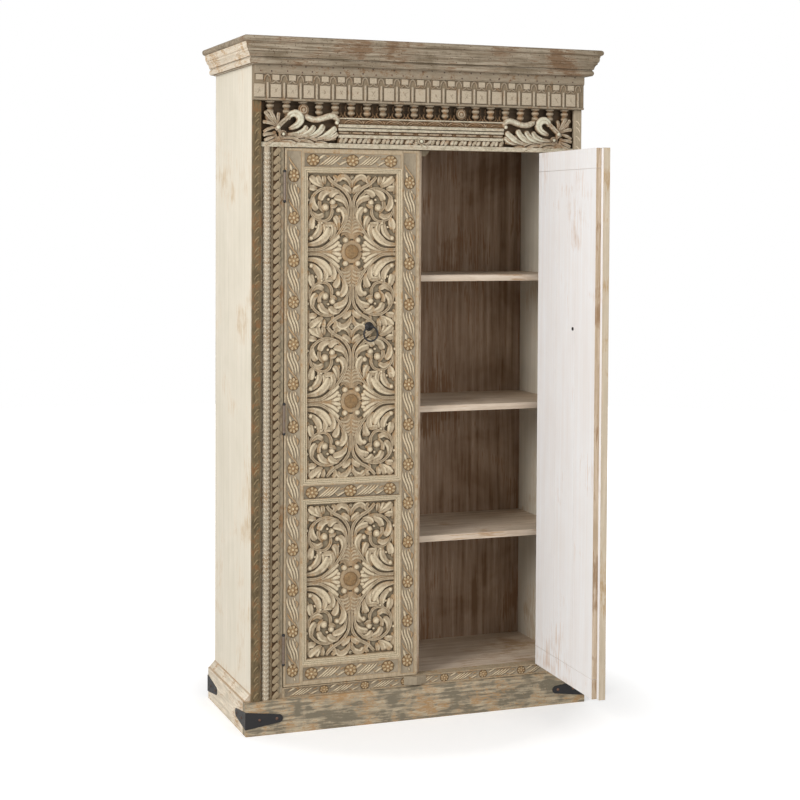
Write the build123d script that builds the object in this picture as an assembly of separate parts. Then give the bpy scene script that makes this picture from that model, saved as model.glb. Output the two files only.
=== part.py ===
from build123d import *
import os

# Carved two-door wooden cabinet, in millimetres.
# Origin: floor level, middle of the plinth. +X right, +Y towards the back, +Z up.
# The left door is closed. The right door stands open by right_door_open degrees.

# ---- Whole cabinet and plinth ----
overall_height = 2100.0
plinth_width = 1136.0
plinth_depth = 455.0
plinth_height = 100.0
plinth_board = 34.0
plinth_back_board = 24.0
plinth_bearer = 34.0
plinth_chamfer_height = 13.0
plinth_edge_round = 2.0

# ---- Carcass ----
plinth_step = 22.0
frame_setback = 27.5
back_inset = 1.5
side_board = 14.0
back_board = 12.0
back_board_count = 5
shelf_board = 20.0
shelf_door_clearance = 1.0
bottom_compartment = 429.0
shelf_count = 3
ceiling_board = 20.0
ceiling_lift = 22.5
base_moulding_width = 20.0
base_moulding_height = 22.0

# ---- Face frame ----
opening_margin = 18.5
frame_board = 24.0
sill_height = 31.0
sill_projection = 4.0
header_board = 20.0
header_recess = 16.0
crown_height = 325.0
carved_header_height = 93.0
bracket_length = 245.0
carved_header_projection = 10.0
header_fillet_height = 12.0
corner_post_width = 26.0
corner_post_thickness = 16.0
column_radius = 11.0
column_gap = 6.0
fillet_strip_width = 11.0
fillet_strip_gap = 2.0
strip_thickness = 5.0
rope_width = 14.0
rope_gap = 1.0
edge_round = 1.5

# ---- Frieze, balusters and cornice ----
baluster_height = 45.0
frieze_projection = 33.0
baluster_count = 20
baluster_end_gap = 55.8
baluster_radius = 11.0
baluster_setback = 0.0
cornice_slab_board = 18.0
cornice_overhang = 45.0
cornice_bead_radius = 9.0
cornice_bead_reach = 22.0
cornice_fillet_reach = 25.0
cornice_fillet_height = 12.0
cornice_ovolo_reach = 36.0
cornice_moulding_height = 63.0

# ---- Doors ----
right_door_open = 87.5
door_floor_gap = 2.0
door_head_gap = 2.0
hinge_gap = 3.0
meeting_gap = 2.0
meeting_offset = -5.0
rebate = 15.0
door_frame_board = 21.0
door_backing_board = 17.0
hinge_stile_width = 60.0
meeting_stile_width = 59.0
top_rail_height = 59.0
lock_rail_height = 48.0
lock_rail_lift = 593.0
bottom_rail_height = 63.0
panel_moulding_width = 15.5
panel_moulding_drop = 10.0
backing_rail_height = 60.0
backing_board_count = 3
stop_block_width = 82.0
stop_block_depth = 16.0
stop_block_drop = 40.0
stop_block_gap = 0.5
sill_block_centre = -13.5
sill_block_width = 74.0
sill_block_height = 26.0
sill_block_projection = 14.0
header_boss_radius = 13.0
header_boss_thickness = 6.0

# ---- Hinges ----
hinge_height = 84.0
hinge_inset = 116.0
hinge_pin_radius = 2.5
hinge_running_clearance = 0.05
hinge_knuckle_radius = 4.6
hinge_pin_projection = 5.0
hinge_knuckle_count = 5
hinge_knuckle_gap = 0.4
hinge_leaf = 1.2
hinge_leaf_depth = 28.0
hinge_ball_radius = 5.0

# ---- Ring pulls ----
pull_above_panel_middle = -3.0
pull_from_centre = 168.0
rose_radius = 14.0
rose_plate = 3.0
rose_dome = 10.0
ring_radius = 22.3
ring_wire_radius = 2.8
ring_projection = 20.0
eye_width = 7.0
eye_radius = 5.5
eye_clearance = 0.45
stud_radius = 3.0
stud_clearance = 0.1
pull_nut_radius = 5.0
pull_nut_thickness = 3.0

# ---- Corner irons ----
iron_thickness = 2.0
iron_arm_length = 116.0
iron_root_height = 53.0
iron_tip_radius = 12.5
iron_centre_height = 48.5
nail_radius = 4.0
nail_head = 2.0
nail_positions = (45.0, 99.0)

# ---- Planes that several pieces share ----
plinth_front = -plinth_depth / 2
plinth_back = plinth_depth / 2
plinth_side = plinth_width / 2
body_width = plinth_width - 2 * plinth_step
body_side = body_width / 2
body_back = plinth_back - back_inset
face = plinth_front + frame_setback
post_front = face - corner_post_thickness
inner_side = body_side - side_board
inner_back = body_back - back_board
fillet_end = body_side - corner_post_width
column_x = fillet_end - column_gap - column_radius
fillet_strip_start = column_x - column_radius - fillet_strip_gap
rope_start = fillet_strip_start - fillet_strip_width - rope_gap
opening_side = rope_start - rope_width - opening_margin
frame_back = face + frame_board
floor_top = plinth_height + sill_height
door_bottom = floor_top + door_floor_gap
header_bottom = overall_height - crown_height
door_top = header_bottom - door_head_gap
door_height = door_top - door_bottom
header_front = face + header_recess
header_back = header_front + header_board
carved_header_top = header_bottom + carved_header_height
carved_header_length = 2 * (fillet_end - bracket_length)
frieze_bottom = carved_header_top + baluster_height
carved_header_front = face - carved_header_projection
frieze_front = face - frieze_projection
slab_bottom = overall_height - cornice_slab_board
door_back = face + door_frame_board + door_backing_board
frame_layer_back = face + door_frame_board
panel_face = face + panel_moulding_drop
shelf_front = door_back + pull_nut_thickness + shelf_door_clearance
ceiling_bottom = header_bottom + ceiling_lift
bottom_shelf_top = floor_top + bottom_compartment
shelf_pitch = (ceiling_bottom - bottom_shelf_top) / shelf_count
door_edge = opening_side - hinge_gap
pin_x = opening_side - hinge_gap / 2
pin_y = face - hinge_pin_projection
panel_outer = door_edge - hinge_stile_width - panel_moulding_width
panel_inner = meeting_gap / 2 - meeting_offset + meeting_stile_width + panel_moulding_width
lock_rail_centre = door_bottom + lock_rail_lift
lock_rail_bottom = lock_rail_centre - lock_rail_height / 2
lock_rail_top = lock_rail_centre + lock_rail_height / 2
pull_height = (lock_rail_top + door_top - top_rail_height) / 2 + pull_above_panel_middle

parts = {}


def block(x0, x1, y0, y1, z0, z1):
    """A board given by its two corners."""
    centre = Pos((x0 + x1) / 2, (y0 + y1) / 2, (z0 + z1) / 2)
    return centre * Box(abs(x1 - x0), abs(y1 - y0), abs(z1 - z0))


def rod(radius, y0, y1, x, z):
    """A round bar along Y."""
    return Pos(x, (y0 + y1) / 2, z) * Rot(90, 0, 0) * Cylinder(radius, abs(y1 - y0))


def prism_x(points, x0, x1):
    """An outline in (y, z), run from x0 to x1."""
    outline = Polyline(*[(x0, y, z) for y, z in points], close=True)
    return extrude(make_face(outline), amount=x1 - x0, dir=(1, 0, 0))


def prism_y(points, y0, y1):
    """An outline in (x, z), run from y0 to y1."""
    outline = Polyline(*[(x, y0, z) for x, z in points], close=True)
    return extrude(make_face(outline), amount=y1 - y0, dir=(0, 1, 0))


def prism_z(points, z0, z1):
    """An outline in (x, y), run from z0 to z1."""
    outline = Polyline(*[(x, y, z0) for x, y in points], close=True)
    return extrude(make_face(outline), amount=z1 - z0, dir=(0, 0, 1))


def flipped(shape):
    """The same piece on the other side of the cabinet."""
    return mirror(shape, about=Plane.YZ)


def pair(left):
    """The left pieces and their mirror images, as one group."""
    return Compound(children=[*left, *[flipped(piece) for piece in left]])


def swung(shape):
    """A right door piece, turned from closed to where the door stands open."""
    return shape.rotate(Axis((pin_x, pin_y, 0), (0, 0, 1)), right_door_open)


def soften(shape, axis, radius=edge_round):
    """Worn edges along one axis."""
    return fillet(shape.edges().filter_by(axis), radius)


# ---- Plinth: front, two sides and back, with the base moulding and corner irons ----
def make_plinth():
    board_back = plinth_front + plinth_board
    chamfer_depth = post_front - plinth_front
    front = prism_x(
        [(plinth_front, 0), (board_back, 0), (board_back, plinth_height),
         (post_front, plinth_height), (plinth_front, plinth_height - plinth_chamfer_height)],
        -plinth_side, plinth_side)
    front = fillet(front.edges().filter_by(Axis.Z).sort_by(Axis.Y)[:2],
                   min(plinth_edge_round, chamfer_depth / 2))
    parts["plinth_front"] = front
    side = block(-plinth_side, -plinth_side + plinth_board, board_back, plinth_back, 0, plinth_height)
    parts["plinth_sides"] = pair([side])
    inner = plinth_side - plinth_board
    back_inside = plinth_back - plinth_back_board
    parts["plinth_back"] = block(-inner, inner, back_inside, plinth_back, 0, plinth_height)
    # A bearer from front to back carries the middle of the cabinet's floor.
    half = plinth_bearer / 2
    bearer = block(-half, half, board_back, back_inside, 0, plinth_height)
    bearer += block(-half, half, shelf_front, back_inside, plinth_height, floor_top - shelf_board)
    parts["plinth_bearer"] = bearer
    moulding = prism_y(
        [(-body_side, plinth_height), (-body_side - base_moulding_width, plinth_height),
         (-body_side, plinth_height + base_moulding_height)], face, body_back)
    parts["base_mouldings"] = pair([moulding])


def iron_arm(length):
    """Tapering arm of a corner iron in its own plane: root at 0, round tip at length."""
    tip = length - iron_tip_radius
    outline = Polyline((0, -iron_root_height / 2), (tip, -iron_tip_radius),
                       (tip, iron_tip_radius), (0, iron_root_height / 2), close=True)
    return make_face(outline) + Pos(tip, 0) * Circle(iron_tip_radius)


def make_corner_irons():
    irons = []
    nails = []
    reach = iron_arm_length + iron_thickness
    corner_x = -plinth_side - iron_thickness
    for corner_y, inward in ((plinth_front - iron_thickness, 1), (plinth_back + iron_thickness, -1)):
        front_plane = Plane((corner_x, corner_y, iron_centre_height), x_dir=(1, 0, 0), z_dir=(0, -1, 0))
        face_arm = extrude(front_plane * iron_arm(reach), amount=-iron_thickness * inward)
        side_plane = Plane((corner_x, corner_y, iron_centre_height),
                           x_dir=(0, inward, 0), z_dir=(inward, 0, 0))
        side_arm = extrude(side_plane * iron_arm(reach), amount=iron_thickness * inward)
        irons.append(face_arm + side_arm)
        for along in nail_positions:
            head_y = corner_y - inward * nail_head
            nails.append(rod(nail_radius, corner_y, head_y, corner_x + along, iron_centre_height))
            side_head = Rot(0, 90, 0) * Cylinder(nail_radius, nail_head)
            nails.append(Pos(corner_x - nail_head / 2, corner_y + inward * along,
                             iron_centre_height) * side_head)
    parts["corner_irons"] = pair(irons)
    parts["corner_iron_nails"] = pair(nails)


# ---- Carcass: sides, back boards, floor, shelves, ceiling ----
def make_carcass():
    side = block(-body_side, -inner_side, face, body_back, plinth_height, slab_bottom)
    parts["side_panel_left"] = side
    parts["side_panel_right"] = flipped(side)
    width = 2 * inner_side / back_board_count
    boards = [block(-inner_side + n * width, -inner_side + (n + 1) * width,
                    inner_back, body_back, plinth_height, slab_bottom)
              for n in range(back_board_count)]
    parts["back_boards"] = Compound(children=boards)
    parts["carcass_floor"] = block(-inner_side, inner_side, shelf_front, inner_back,
                                   floor_top - shelf_board, floor_top)
    parts["carcass_ceiling"] = block(-inner_side, inner_side, header_back, inner_back,
                                     ceiling_bottom, ceiling_bottom + ceiling_board)
    for n, name in enumerate(("lower", "middle", "upper")[:shelf_count]):
        top = bottom_shelf_top + n * shelf_pitch
        shelf = block(-inner_side, inner_side, shelf_front, inner_back, top - shelf_board, top)
        front_edges = shelf.edges().filter_by(Axis.X).sort_by(Axis.Y)[:2]
        parts[f"shelf_{name}"] = fillet(front_edges, edge_round)


# ---- Face frame: stiles, sill, header and what is applied to them ----
def make_face_frame():
    stile = block(-inner_side, -opening_side, face, frame_back, plinth_height, header_bottom)
    parts["face_stile_left"] = stile
    parts["face_stile_right"] = flipped(stile)
    parts["sill_rail"] = block(-opening_side, opening_side, face - sill_projection, shelf_front,
                               plinth_height, floor_top)
    parts["header_rail"] = block(-inner_side, inner_side, header_front, header_back,
                                 header_bottom, slab_bottom)
    carved = block(-carved_header_length / 2, carved_header_length / 2,
                   carved_header_front, header_front, header_bottom, carved_header_top)
    fillet_band = block(-fillet_end, fillet_end, carved_header_front, header_front,
                        header_bottom, header_bottom + header_fillet_height)
    parts["carved_header"] = carved + fillet_band
    boss = rod(header_boss_radius, carved_header_front - header_boss_thickness, carved_header_front,
               0, header_bottom + 2 * header_boss_radius)
    parts["header_boss"] = boss
    post = block(-body_side, -body_side + corner_post_width, post_front, face,
                 plinth_height, frieze_bottom)
    parts["corner_posts"] = pair([soften(post, Axis.Z)])

    column = Pos(-column_x, face, (plinth_height + header_bottom) / 2) * Cylinder(
        column_radius, header_bottom - plinth_height)
    front_half = block(-column_x - column_radius, -column_x + column_radius,
                       face - column_radius, face, plinth_height, header_bottom)
    parts["half_columns"] = pair([column & front_half])

    strip = block(-fillet_strip_start, -fillet_strip_start + fillet_strip_width,
                  face - strip_thickness, face, plinth_height, header_bottom)
    rope = block(-rope_start, -rope_start + rope_width, face - strip_thickness, face,
                 plinth_height, header_bottom)
    rope_edges = rope.edges().filter_by(Axis.Z).sort_by(Axis.Y)[:2]
    parts["rope_strips"] = pair([strip, fillet(rope_edges, strip_thickness * 0.8)])


def make_stop_blocks():
    # A chamfered block behind the header stops both doors; a keel-shaped one sits on the sill.
    half = stop_block_width / 2
    low = ceiling_bottom - stop_block_drop
    chamfer_step = stop_block_drop / 3
    stop_front = door_back + stop_block_gap
    parts["door_stop"] = prism_y(
        [(-half, ceiling_bottom), (-half, low + chamfer_step), (-half + chamfer_step, low),
         (half - chamfer_step, low), (half, low + chamfer_step), (half, ceiling_bottom)],
        stop_front, stop_front + stop_block_depth)
    sill_front = face - sill_projection
    half = sill_block_width / 2
    keel = prism_z(
        [(sill_block_centre - half, sill_front),
         (sill_block_centre, sill_front - sill_block_projection),
         (sill_block_centre + half, sill_front)],
        floor_top - sill_block_height, floor_top)
    parts["sill_block"] = keel


def make_brackets():
    # Carved openwork corner pieces: outline in (distance from the post, height above the fillet).
    start = -body_side + corner_post_width
    base = header_bottom + header_fillet_height
    end = -carved_header_length / 2 - start
    top = carved_header_height - header_fillet_height
    outline = [(6, 0), (end, 0), (end, top * 0.9), (end * 0.93, top), (end * 0.55, top * 0.98),
               (end * 0.48, top), (end * 0.38, top), (end * 0.33, top * 0.8), (end * 0.24, top * 0.7),
               (end * 0.22, top), (0, top), (6, top * 0.75), (0, top * 0.5), (8, top * 0.35)]
    plate = prism_y([(start + x, base + z) for x, z in outline], post_front, face)
    gap_depth = corner_post_thickness
    under_horn = block(start + end * 0.56, start + end * 0.9, post_front, post_front + gap_depth,
                       base + top * 0.55, base + top * 0.68)
    beside_leaf = block(start + end * 0.26, start + end * 0.34, post_front, post_front + gap_depth,
                        base + top * 0.42, base + top * 0.6)
    parts["scroll_brackets"] = pair([plate - under_horn - beside_leaf])


# ---- Balusters, frieze and cornice ----
def make_balusters():
    low = carved_header_top
    height = frieze_bottom - low
    radius = baluster_radius
    profile = [(0.45, 0.0), (0.45, 0.12), (0.95, 0.26), (0.6, 0.42), (0.72, 0.55),
               (1.0, 0.7), (0.7, 0.82), (1.0, 0.92), (1.0, 1.0)]
    points = [(radius * r, 0, height * z) for r, z in profile]
    outline = Polyline((0, 0, 0), *points, (0, 0, height), close=True)
    turned = revolve(make_face(outline), Axis.Z)
    first = -body_side + baluster_end_gap
    pitch = -2 * first / (baluster_count - 1)
    row = [Pos(first + n * pitch, face + baluster_setback, low) * turned
           for n in range(baluster_count)]
    parts["balusters"] = Compound(children=row)


def make_cornice():
    frieze = block(-body_side, body_side, frieze_front, face, frieze_bottom, slab_bottom)
    frieze += block(-inner_side, inner_side, face, header_front, frieze_bottom, slab_bottom)
    parts["frieze_board"] = frieze
    low = slab_bottom - cornice_moulding_height
    bead_top = low + 2 * cornice_bead_radius
    fillet_top = bead_top + cornice_fillet_height
    ovolo_top = slab_bottom - cornice_fillet_height
    bead_neck = cornice_bead_reach - cornice_bead_radius
    section = (
        Polyline((0, ovolo_top), (0, low), (bead_neck, low))
        + ThreePointArc((bead_neck, low), (cornice_bead_reach, low + cornice_bead_radius),
                        (bead_neck, bead_top))
        + Polyline((bead_neck, bead_top), (cornice_fillet_reach, bead_top + 3),
                   (cornice_fillet_reach, fillet_top), (cornice_ovolo_reach, ovolo_top),
                   (cornice_ovolo_reach, slab_bottom), (0, slab_bottom), (0, ovolo_top)))
    section = make_face(section)

    reach = cornice_overhang
    front_plane = Plane((-body_side - reach, frieze_front, 0), x_dir=(0, -1, 0), z_dir=(-1, 0, 0))
    front_run = extrude(front_plane * section, amount=-2 * (body_side + reach))
    front_plan = prism_z(
        [(-body_side, frieze_front), (body_side, frieze_front),
         (body_side + reach, frieze_front - reach), (-body_side - reach, frieze_front - reach)],
        low, slab_bottom)
    side_plane = Plane((-body_side, frieze_front - reach, 0), x_dir=(-1, 0, 0), z_dir=(0, 1, 0))
    side_run = extrude(side_plane * section, amount=body_back - frieze_front + reach)
    side_plan = prism_z(
        [(-body_side, frieze_front), (-body_side - reach, frieze_front - reach),
         (-body_side - reach, body_back), (-body_side, body_back)], low, slab_bottom)
    side = side_run & side_plan
    parts["cornice_mouldings"] = Compound(children=[front_run & front_plan, side, flipped(side)])

    slab = block(-body_side - reach, body_side + reach, frieze_front - reach, plinth_back,
                 slab_bottom, overall_height)
    nose = min(cornice_slab_board * 0.45, reach)
    long_edges = slab.edges().filter_by(Axis.X).sort_by(Axis.Y)[:2]
    end_edges = slab.edges().filter_by(Axis.Y)
    parts["cornice_slab"] = fillet(long_edges + end_edges, nose)


# ---- Doors: built closed on the left; the right door is the mirror image, then swung open ----
def panel_moulding(x0, x1, z0, z1):
    """Four mitred lengths that slope from the door's face down to the panel."""
    step = panel_moulding_width
    thin = frame_layer_back - panel_face
    outer_rect = [(x0, z0), (x1, z0), (x1, z1), (x0, z1)]
    inner_rect = [(x0 + step, z0 + step), (x1 - step, z0 + step),
                  (x1 - step, z1 - step), (x0 + step, z1 - step)]
    front_slope = loft([
        make_face(Polyline(*[(x, panel_face, z) for x, z in inner_rect], close=True)),
        make_face(Polyline(*[(x, face, z) for x, z in outer_rect], close=True))])
    ring = block(x0, x1, face, frame_layer_back, z0, z1) - front_slope
    ring -= block(x0 + step, x1 - step, panel_face - 1, panel_face + thin + 1, z0 + step, z1 - step)
    lengths = []
    centre_x = (x0 + x1) / 2
    reach = centre_x - x0
    for upright in (False, True):
        for sign in (-1, 1):
            if upright:
                edge = x0 if sign < 0 else x1
                wedge = [(edge, z0), (edge - sign * reach, z0 + reach),
                         (edge - sign * reach, z1 - reach), (edge, z1)]
            else:
                edge = z0 if sign < 0 else z1
                wedge = [(x0, edge), (x1, edge), (centre_x, edge - sign * reach)]
            lengths.append(ring & prism_y(wedge, face - 1, frame_layer_back + 1))
    return lengths


def make_door(side):
    on_right = side == "right"

    def place(shape):
        return swung(flipped(shape)) if on_right else shape

    def keep(name, *shapes):
        placed = [place(shape) for shape in shapes]
        parts[f"{side}_{name}"] = placed[0] if len(placed) == 1 else Compound(children=placed)

    # Distances are measured in the left door's frame. The meeting edges differ from side to
    # side: the right door's front layer laps over the left door's backing.
    if on_right:
        frame_edge = meeting_offset + meeting_gap / 2
        backing_edge = frame_edge + rebate
        frame_edge, backing_edge = -frame_edge, -backing_edge
    else:
        frame_edge = meeting_offset - meeting_gap / 2
        backing_edge = frame_edge + rebate

    stile_inner = -door_edge + hinge_stile_width
    meeting_inner = -panel_inner + panel_moulding_width
    top_rail_bottom = door_top - top_rail_height
    bottom_rail_top = door_bottom + bottom_rail_height
    keep("door_hinge_stile", soften(
        block(-door_edge, stile_inner, face, frame_layer_back, door_bottom, door_top), Axis.Z, 1.0))
    keep("door_meeting_stile", soften(
        block(meeting_inner, frame_edge, face, frame_layer_back, door_bottom, door_top), Axis.Z, 1.0))
    keep("door_top_rail", block(stile_inner, meeting_inner, face, frame_layer_back,
                                top_rail_bottom, door_top))
    keep("door_lock_rail", block(stile_inner, meeting_inner, face, frame_layer_back,
                                 lock_rail_bottom, lock_rail_top))
    keep("door_bottom_rail", block(stile_inner, meeting_inner, face, frame_layer_back,
                                   door_bottom, bottom_rail_top))
    keep("door_mouldings",
         *panel_moulding(stile_inner, meeting_inner, lock_rail_top, top_rail_bottom),
         *panel_moulding(stile_inner, meeting_inner, bottom_rail_top, lock_rail_bottom))

    step = panel_moulding_width
    stud_hole = rod(stud_radius + stud_clearance, face - 1, door_back + 1,
                    -pull_from_centre, pull_height)
    upper = block(stile_inner + step, meeting_inner - step, panel_face, frame_layer_back,
                  lock_rail_top + step, top_rail_bottom - step)
    keep("door_upper_panel", upper - stud_hole)
    keep("door_lower_panel", block(stile_inner + step, meeting_inner - step,
                                   panel_face, frame_layer_back,
                                   bottom_rail_top + step, lock_rail_bottom - step))

    # Backing: a rail across the top and the bottom, upright boards between them.
    low = door_bottom + backing_rail_height
    high = door_top - backing_rail_height
    board_width = (backing_edge + door_edge) / backing_board_count
    boards = [block(-door_edge, backing_edge, frame_layer_back, door_back, door_bottom, low),
              block(-door_edge, backing_edge, frame_layer_back, door_back, high, door_top)]
    for n in range(backing_board_count):
        left = -door_edge + n * board_width
        boards.append(block(left, left + board_width, frame_layer_back, door_back, low, high)
                      - stud_hole)
    keep("door_backing", *boards)

    # Ring pull: rose with an eye and a stud through the door, a nut inside, a free ring.
    eye_y = panel_face - ring_projection
    dome_top = panel_face - rose_plate - rose_dome
    x, z = -pull_from_centre, pull_height
    rose = rod(rose_radius, panel_face - rose_plate, panel_face, x, z)
    rose += Pos(x, panel_face - rose_plate, z) * Rot(90, 0, 0) * Cone(
        rose_radius * 0.93, rose_radius * 0.4, rose_dome, align=(Align.CENTER, Align.CENTER, Align.MIN))
    rose += block(x - eye_width / 2, x + eye_width / 2, eye_y, dome_top + 2,
                  z - eye_radius, z + eye_radius)
    rose += Pos(x, eye_y, z) * Rot(0, 90, 0) * Cylinder(eye_radius, eye_width)
    rose -= Pos(x, eye_y, z) * Rot(0, 90, 0) * Cylinder(ring_wire_radius + eye_clearance, eye_width + 2)
    rose += rod(stud_radius, panel_face, door_back + pull_nut_thickness, x, z)
    keep("door_pull_rose", rose)
    nut = rod(pull_nut_radius, door_back, door_back + pull_nut_thickness, x, z)
    keep("door_pull_nut", nut - rod(stud_radius + hinge_running_clearance, door_back - 1,
                                    door_back + pull_nut_thickness + 1, x, z))
    keep("door_pull_ring", Pos(x, eye_y, z - ring_radius) * Rot(90, 0, 0) * Torus(
        ring_radius, ring_wire_radius))

    # Door leaves of the three hinges, with the even knuckles.
    keep("door_hinge_leaves", *[hinge_leaf_set(height, True) for height in hinge_heights()])


# ---- Hinges ----
def hinge_heights():
    return (door_bottom + hinge_inset, (door_bottom + door_top) / 2, door_top - hinge_inset)


def knuckle_spans(centre_z, on_door):
    """Lower and upper end of each knuckle of one leaf."""
    pitch = hinge_height / hinge_knuckle_count
    low = centre_z - hinge_height / 2
    first = 1 if on_door else 0
    return [(low + n * pitch + hinge_knuckle_gap / 2, low + (n + 1) * pitch - hinge_knuckle_gap / 2)
            for n in range(first, hinge_knuckle_count, 2)]


def hinge_leaf_set(centre_z, on_door):
    """One leaf of a left hinge: a plate in the gap, and its knuckles round the pin."""
    low = centre_z - hinge_height / 2
    high = centre_z + hinge_height / 2
    if on_door:
        plate_x = (-door_edge - hinge_leaf, -door_edge)
    else:
        plate_x = (-opening_side, -opening_side + hinge_leaf)
    plate_front = pin_y + hinge_knuckle_radius + hinge_knuckle_gap
    leaf = block(*plate_x, plate_front, plate_front + hinge_leaf_depth, low, high)
    bore_radius = hinge_pin_radius + hinge_running_clearance
    for z0, z1 in knuckle_spans(centre_z, on_door):
        middle = (z0 + z1) / 2
        knuckle = Pos(-pin_x, pin_y, middle) * Cylinder(hinge_knuckle_radius, z1 - z0)
        wrap = block(*plate_x, pin_y, plate_front + 1, z0, z1)
        leaf += knuckle + wrap
        leaf -= Pos(-pin_x, pin_y, middle) * Cylinder(bore_radius, z1 - z0 + 0.1)
    return leaf


def make_hinges():
    leaves = [hinge_leaf_set(height, False) for height in hinge_heights()]
    parts["hinge_frame_leaves"] = pair(leaves)
    pins = []
    for height in hinge_heights():
        pin = Pos(-pin_x, pin_y, height) * Cylinder(hinge_pin_radius, hinge_height)
        for end in (-1, 1):
            ball_z = height + end * (hinge_height / 2 + hinge_ball_radius * 0.6)
            pin += Pos(-pin_x, pin_y, ball_z) * Sphere(hinge_ball_radius)
        ends = block(-pin_x - 10, -pin_x + 10, pin_y - 10, pin_y + 10,
                     height - hinge_height / 2 + hinge_knuckle_gap / 2,
                     height + hinge_height / 2 - hinge_knuckle_gap / 2)
        shaft = Pos(-pin_x, pin_y, height) * Cylinder(hinge_pin_radius, hinge_height)
        pins.append((pin - ends) + shaft)
    parts["hinge_pins"] = pair(pins)


make_plinth()
make_corner_irons()
make_carcass()
make_face_frame()
make_stop_blocks()
make_brackets()
make_balusters()
make_cornice()
make_door("left")
make_door("right")
make_hinges()

os.makedirs("parts", exist_ok=True)
for node, shape in parts.items():
    export_step(shape, f"parts/{node}.step")
print(len(parts), "nodes")
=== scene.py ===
from math import cos, hypot, pi, radians, sin, tanh

import bmesh
import bpy
from mathutils import Matrix, Vector, noise


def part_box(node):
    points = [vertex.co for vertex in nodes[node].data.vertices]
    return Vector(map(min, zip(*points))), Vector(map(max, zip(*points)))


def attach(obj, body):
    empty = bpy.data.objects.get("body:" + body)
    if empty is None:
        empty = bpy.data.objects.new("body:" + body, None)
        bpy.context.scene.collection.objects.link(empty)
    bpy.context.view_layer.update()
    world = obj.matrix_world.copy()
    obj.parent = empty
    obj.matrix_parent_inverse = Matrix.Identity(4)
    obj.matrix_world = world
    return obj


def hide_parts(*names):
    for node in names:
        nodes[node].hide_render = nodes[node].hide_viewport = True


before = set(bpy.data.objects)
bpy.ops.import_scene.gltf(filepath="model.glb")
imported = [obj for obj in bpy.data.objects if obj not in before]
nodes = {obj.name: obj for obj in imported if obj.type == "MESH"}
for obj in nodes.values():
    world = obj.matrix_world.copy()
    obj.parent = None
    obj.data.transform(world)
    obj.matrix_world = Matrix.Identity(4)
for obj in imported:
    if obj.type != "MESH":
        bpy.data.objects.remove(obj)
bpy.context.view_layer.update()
bpy.ops.object.select_all(action="DESELECT")


# ---- Camera ----
# Chest high and a little left of the cabinet, so that the open door shows its inner face.
camera = bpy.data.objects.new("camera", bpy.data.cameras.new("camera"))
bpy.context.scene.collection.objects.link(camera)
camera.data.sensor_width = 36.0
camera.data.lens = 75.965
camera.data.shift_x, camera.data.shift_y = -0.00014, -0.1527
camera.data.clip_start, camera.data.clip_end = 0.1, 60.0
heading, tilt, roll = 0.361933, -0.0325988, 0.0051905
ahead = Vector((sin(heading) * cos(tilt), cos(heading) * cos(tilt), sin(tilt)))
level = Vector((cos(heading), -sin(heading), 0))
upright = level.cross(ahead)
right = cos(roll) * level + sin(roll) * upright
up = cos(roll) * upright - sin(roll) * level
camera.matrix_world = Matrix.Translation((-1.920481, -5.090232, 1.548835)) @ Matrix(
    (right, up, -ahead)).transposed().to_4x4()
bpy.context.scene.camera = camera


# ---- Floor, background and lamps ----
# White studio floor that keeps the soft shadow under the cabinet, and a large window-like lamp
# from the left that rakes across the front. The floor's glow for the camera grows with the
# distance from the cabinet: painted light that lifts the lamp's shadow farther out, and
# painted shade round the base.
def node(tree, kind, settings=None, **sockets):
    """One shader node. A socket is given a value, a node, or one of a node's outputs."""
    made = tree.nodes.new("ShaderNode" + kind)
    for key, value in (settings or {}).items():
        setattr(made, key, value)
    for key, value in sockets.items():
        number = key[1:]
        socket = made.inputs[int(number) if number.isdigit() else key.replace("_", " ")]
        if isinstance(value, bpy.types.Node):
            value = value.outputs[0]
        if isinstance(value, bpy.types.NodeSocket):
            tree.links.new(value, socket)
        else:
            socket.default_value = value
    return made


def ramp(tree, value, low, high, start, end):
    """Turns values from low to high into values from start to end."""
    return node(tree, "MapRange", Value=value, _1=low, _2=high, _3=start, _4=end)


def calculate(tree, operation, *values):
    return node(tree, "Math", {"operation": operation},
                **{f"_{number}": value for number, value in enumerate(values)})


def empty_material(name):
    material = bpy.data.materials.new(name)
    material.use_nodes = True
    material.node_tree.nodes.clear()
    return material, material.node_tree


bpy.ops.mesh.primitive_circle_add(vertices=96, radius=9.0, fill_type="NGON", location=(0, 0, 0))
studio_floor = bpy.context.object
studio_floor.name = "studio_floor"
floor_white, tree = empty_material("floor_white")
surface = node(tree, "BsdfDiffuse", Color=(0.82, 0.82, 0.82, 1))
place = node(tree, "TexCoord").outputs["Object"]
distance = node(tree, "VectorMath", {"operation": "LENGTH"}, _0=place).outputs["Value"]
# The glow for the camera grows with the distance from the cabinet: painted light that lifts the lamp's shadow
# farther out, and painted shade round the base.
painted_floor_light = node(tree, "Emission", Color=(1, 1, 1, 1), Strength=ramp(tree, distance, 0.55, 1.1, 0.29, 0.92))
seen_by_camera = node(tree, "LightPath").outputs["Is Camera Ray"]
lifted = node(tree, "AddShader", _0=surface, _1=painted_floor_light)
seen = node(tree, "MixShader", _0=seen_by_camera, _1=surface, _2=lifted)
node(tree, "OutputMaterial", Surface=seen)
studio_floor.data.materials.append(floor_white)

world = bpy.data.worlds.new("studio")
bpy.context.scene.world = world
world.use_nodes = True
tree = world.node_tree
tree.nodes.clear()
path = node(tree, "LightPath").outputs
seen_directly = calculate(tree, "MAXIMUM", path["Is Camera Ray"], path["Is Glossy Ray"])
plain_white = calculate(tree, "MAXIMUM", seen_directly, path["Is Transmission Ray"])
soft_light = node(tree, "Background", Color=(0.97, 0.98, 1.0, 1), Strength=0.46)
white = node(tree, "Background", Color=(1, 1, 1, 1), Strength=1.0)
node(tree, "OutputWorld", Surface=node(tree, "MixShader", _0=plain_white, _1=soft_light, _2=white))


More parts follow.
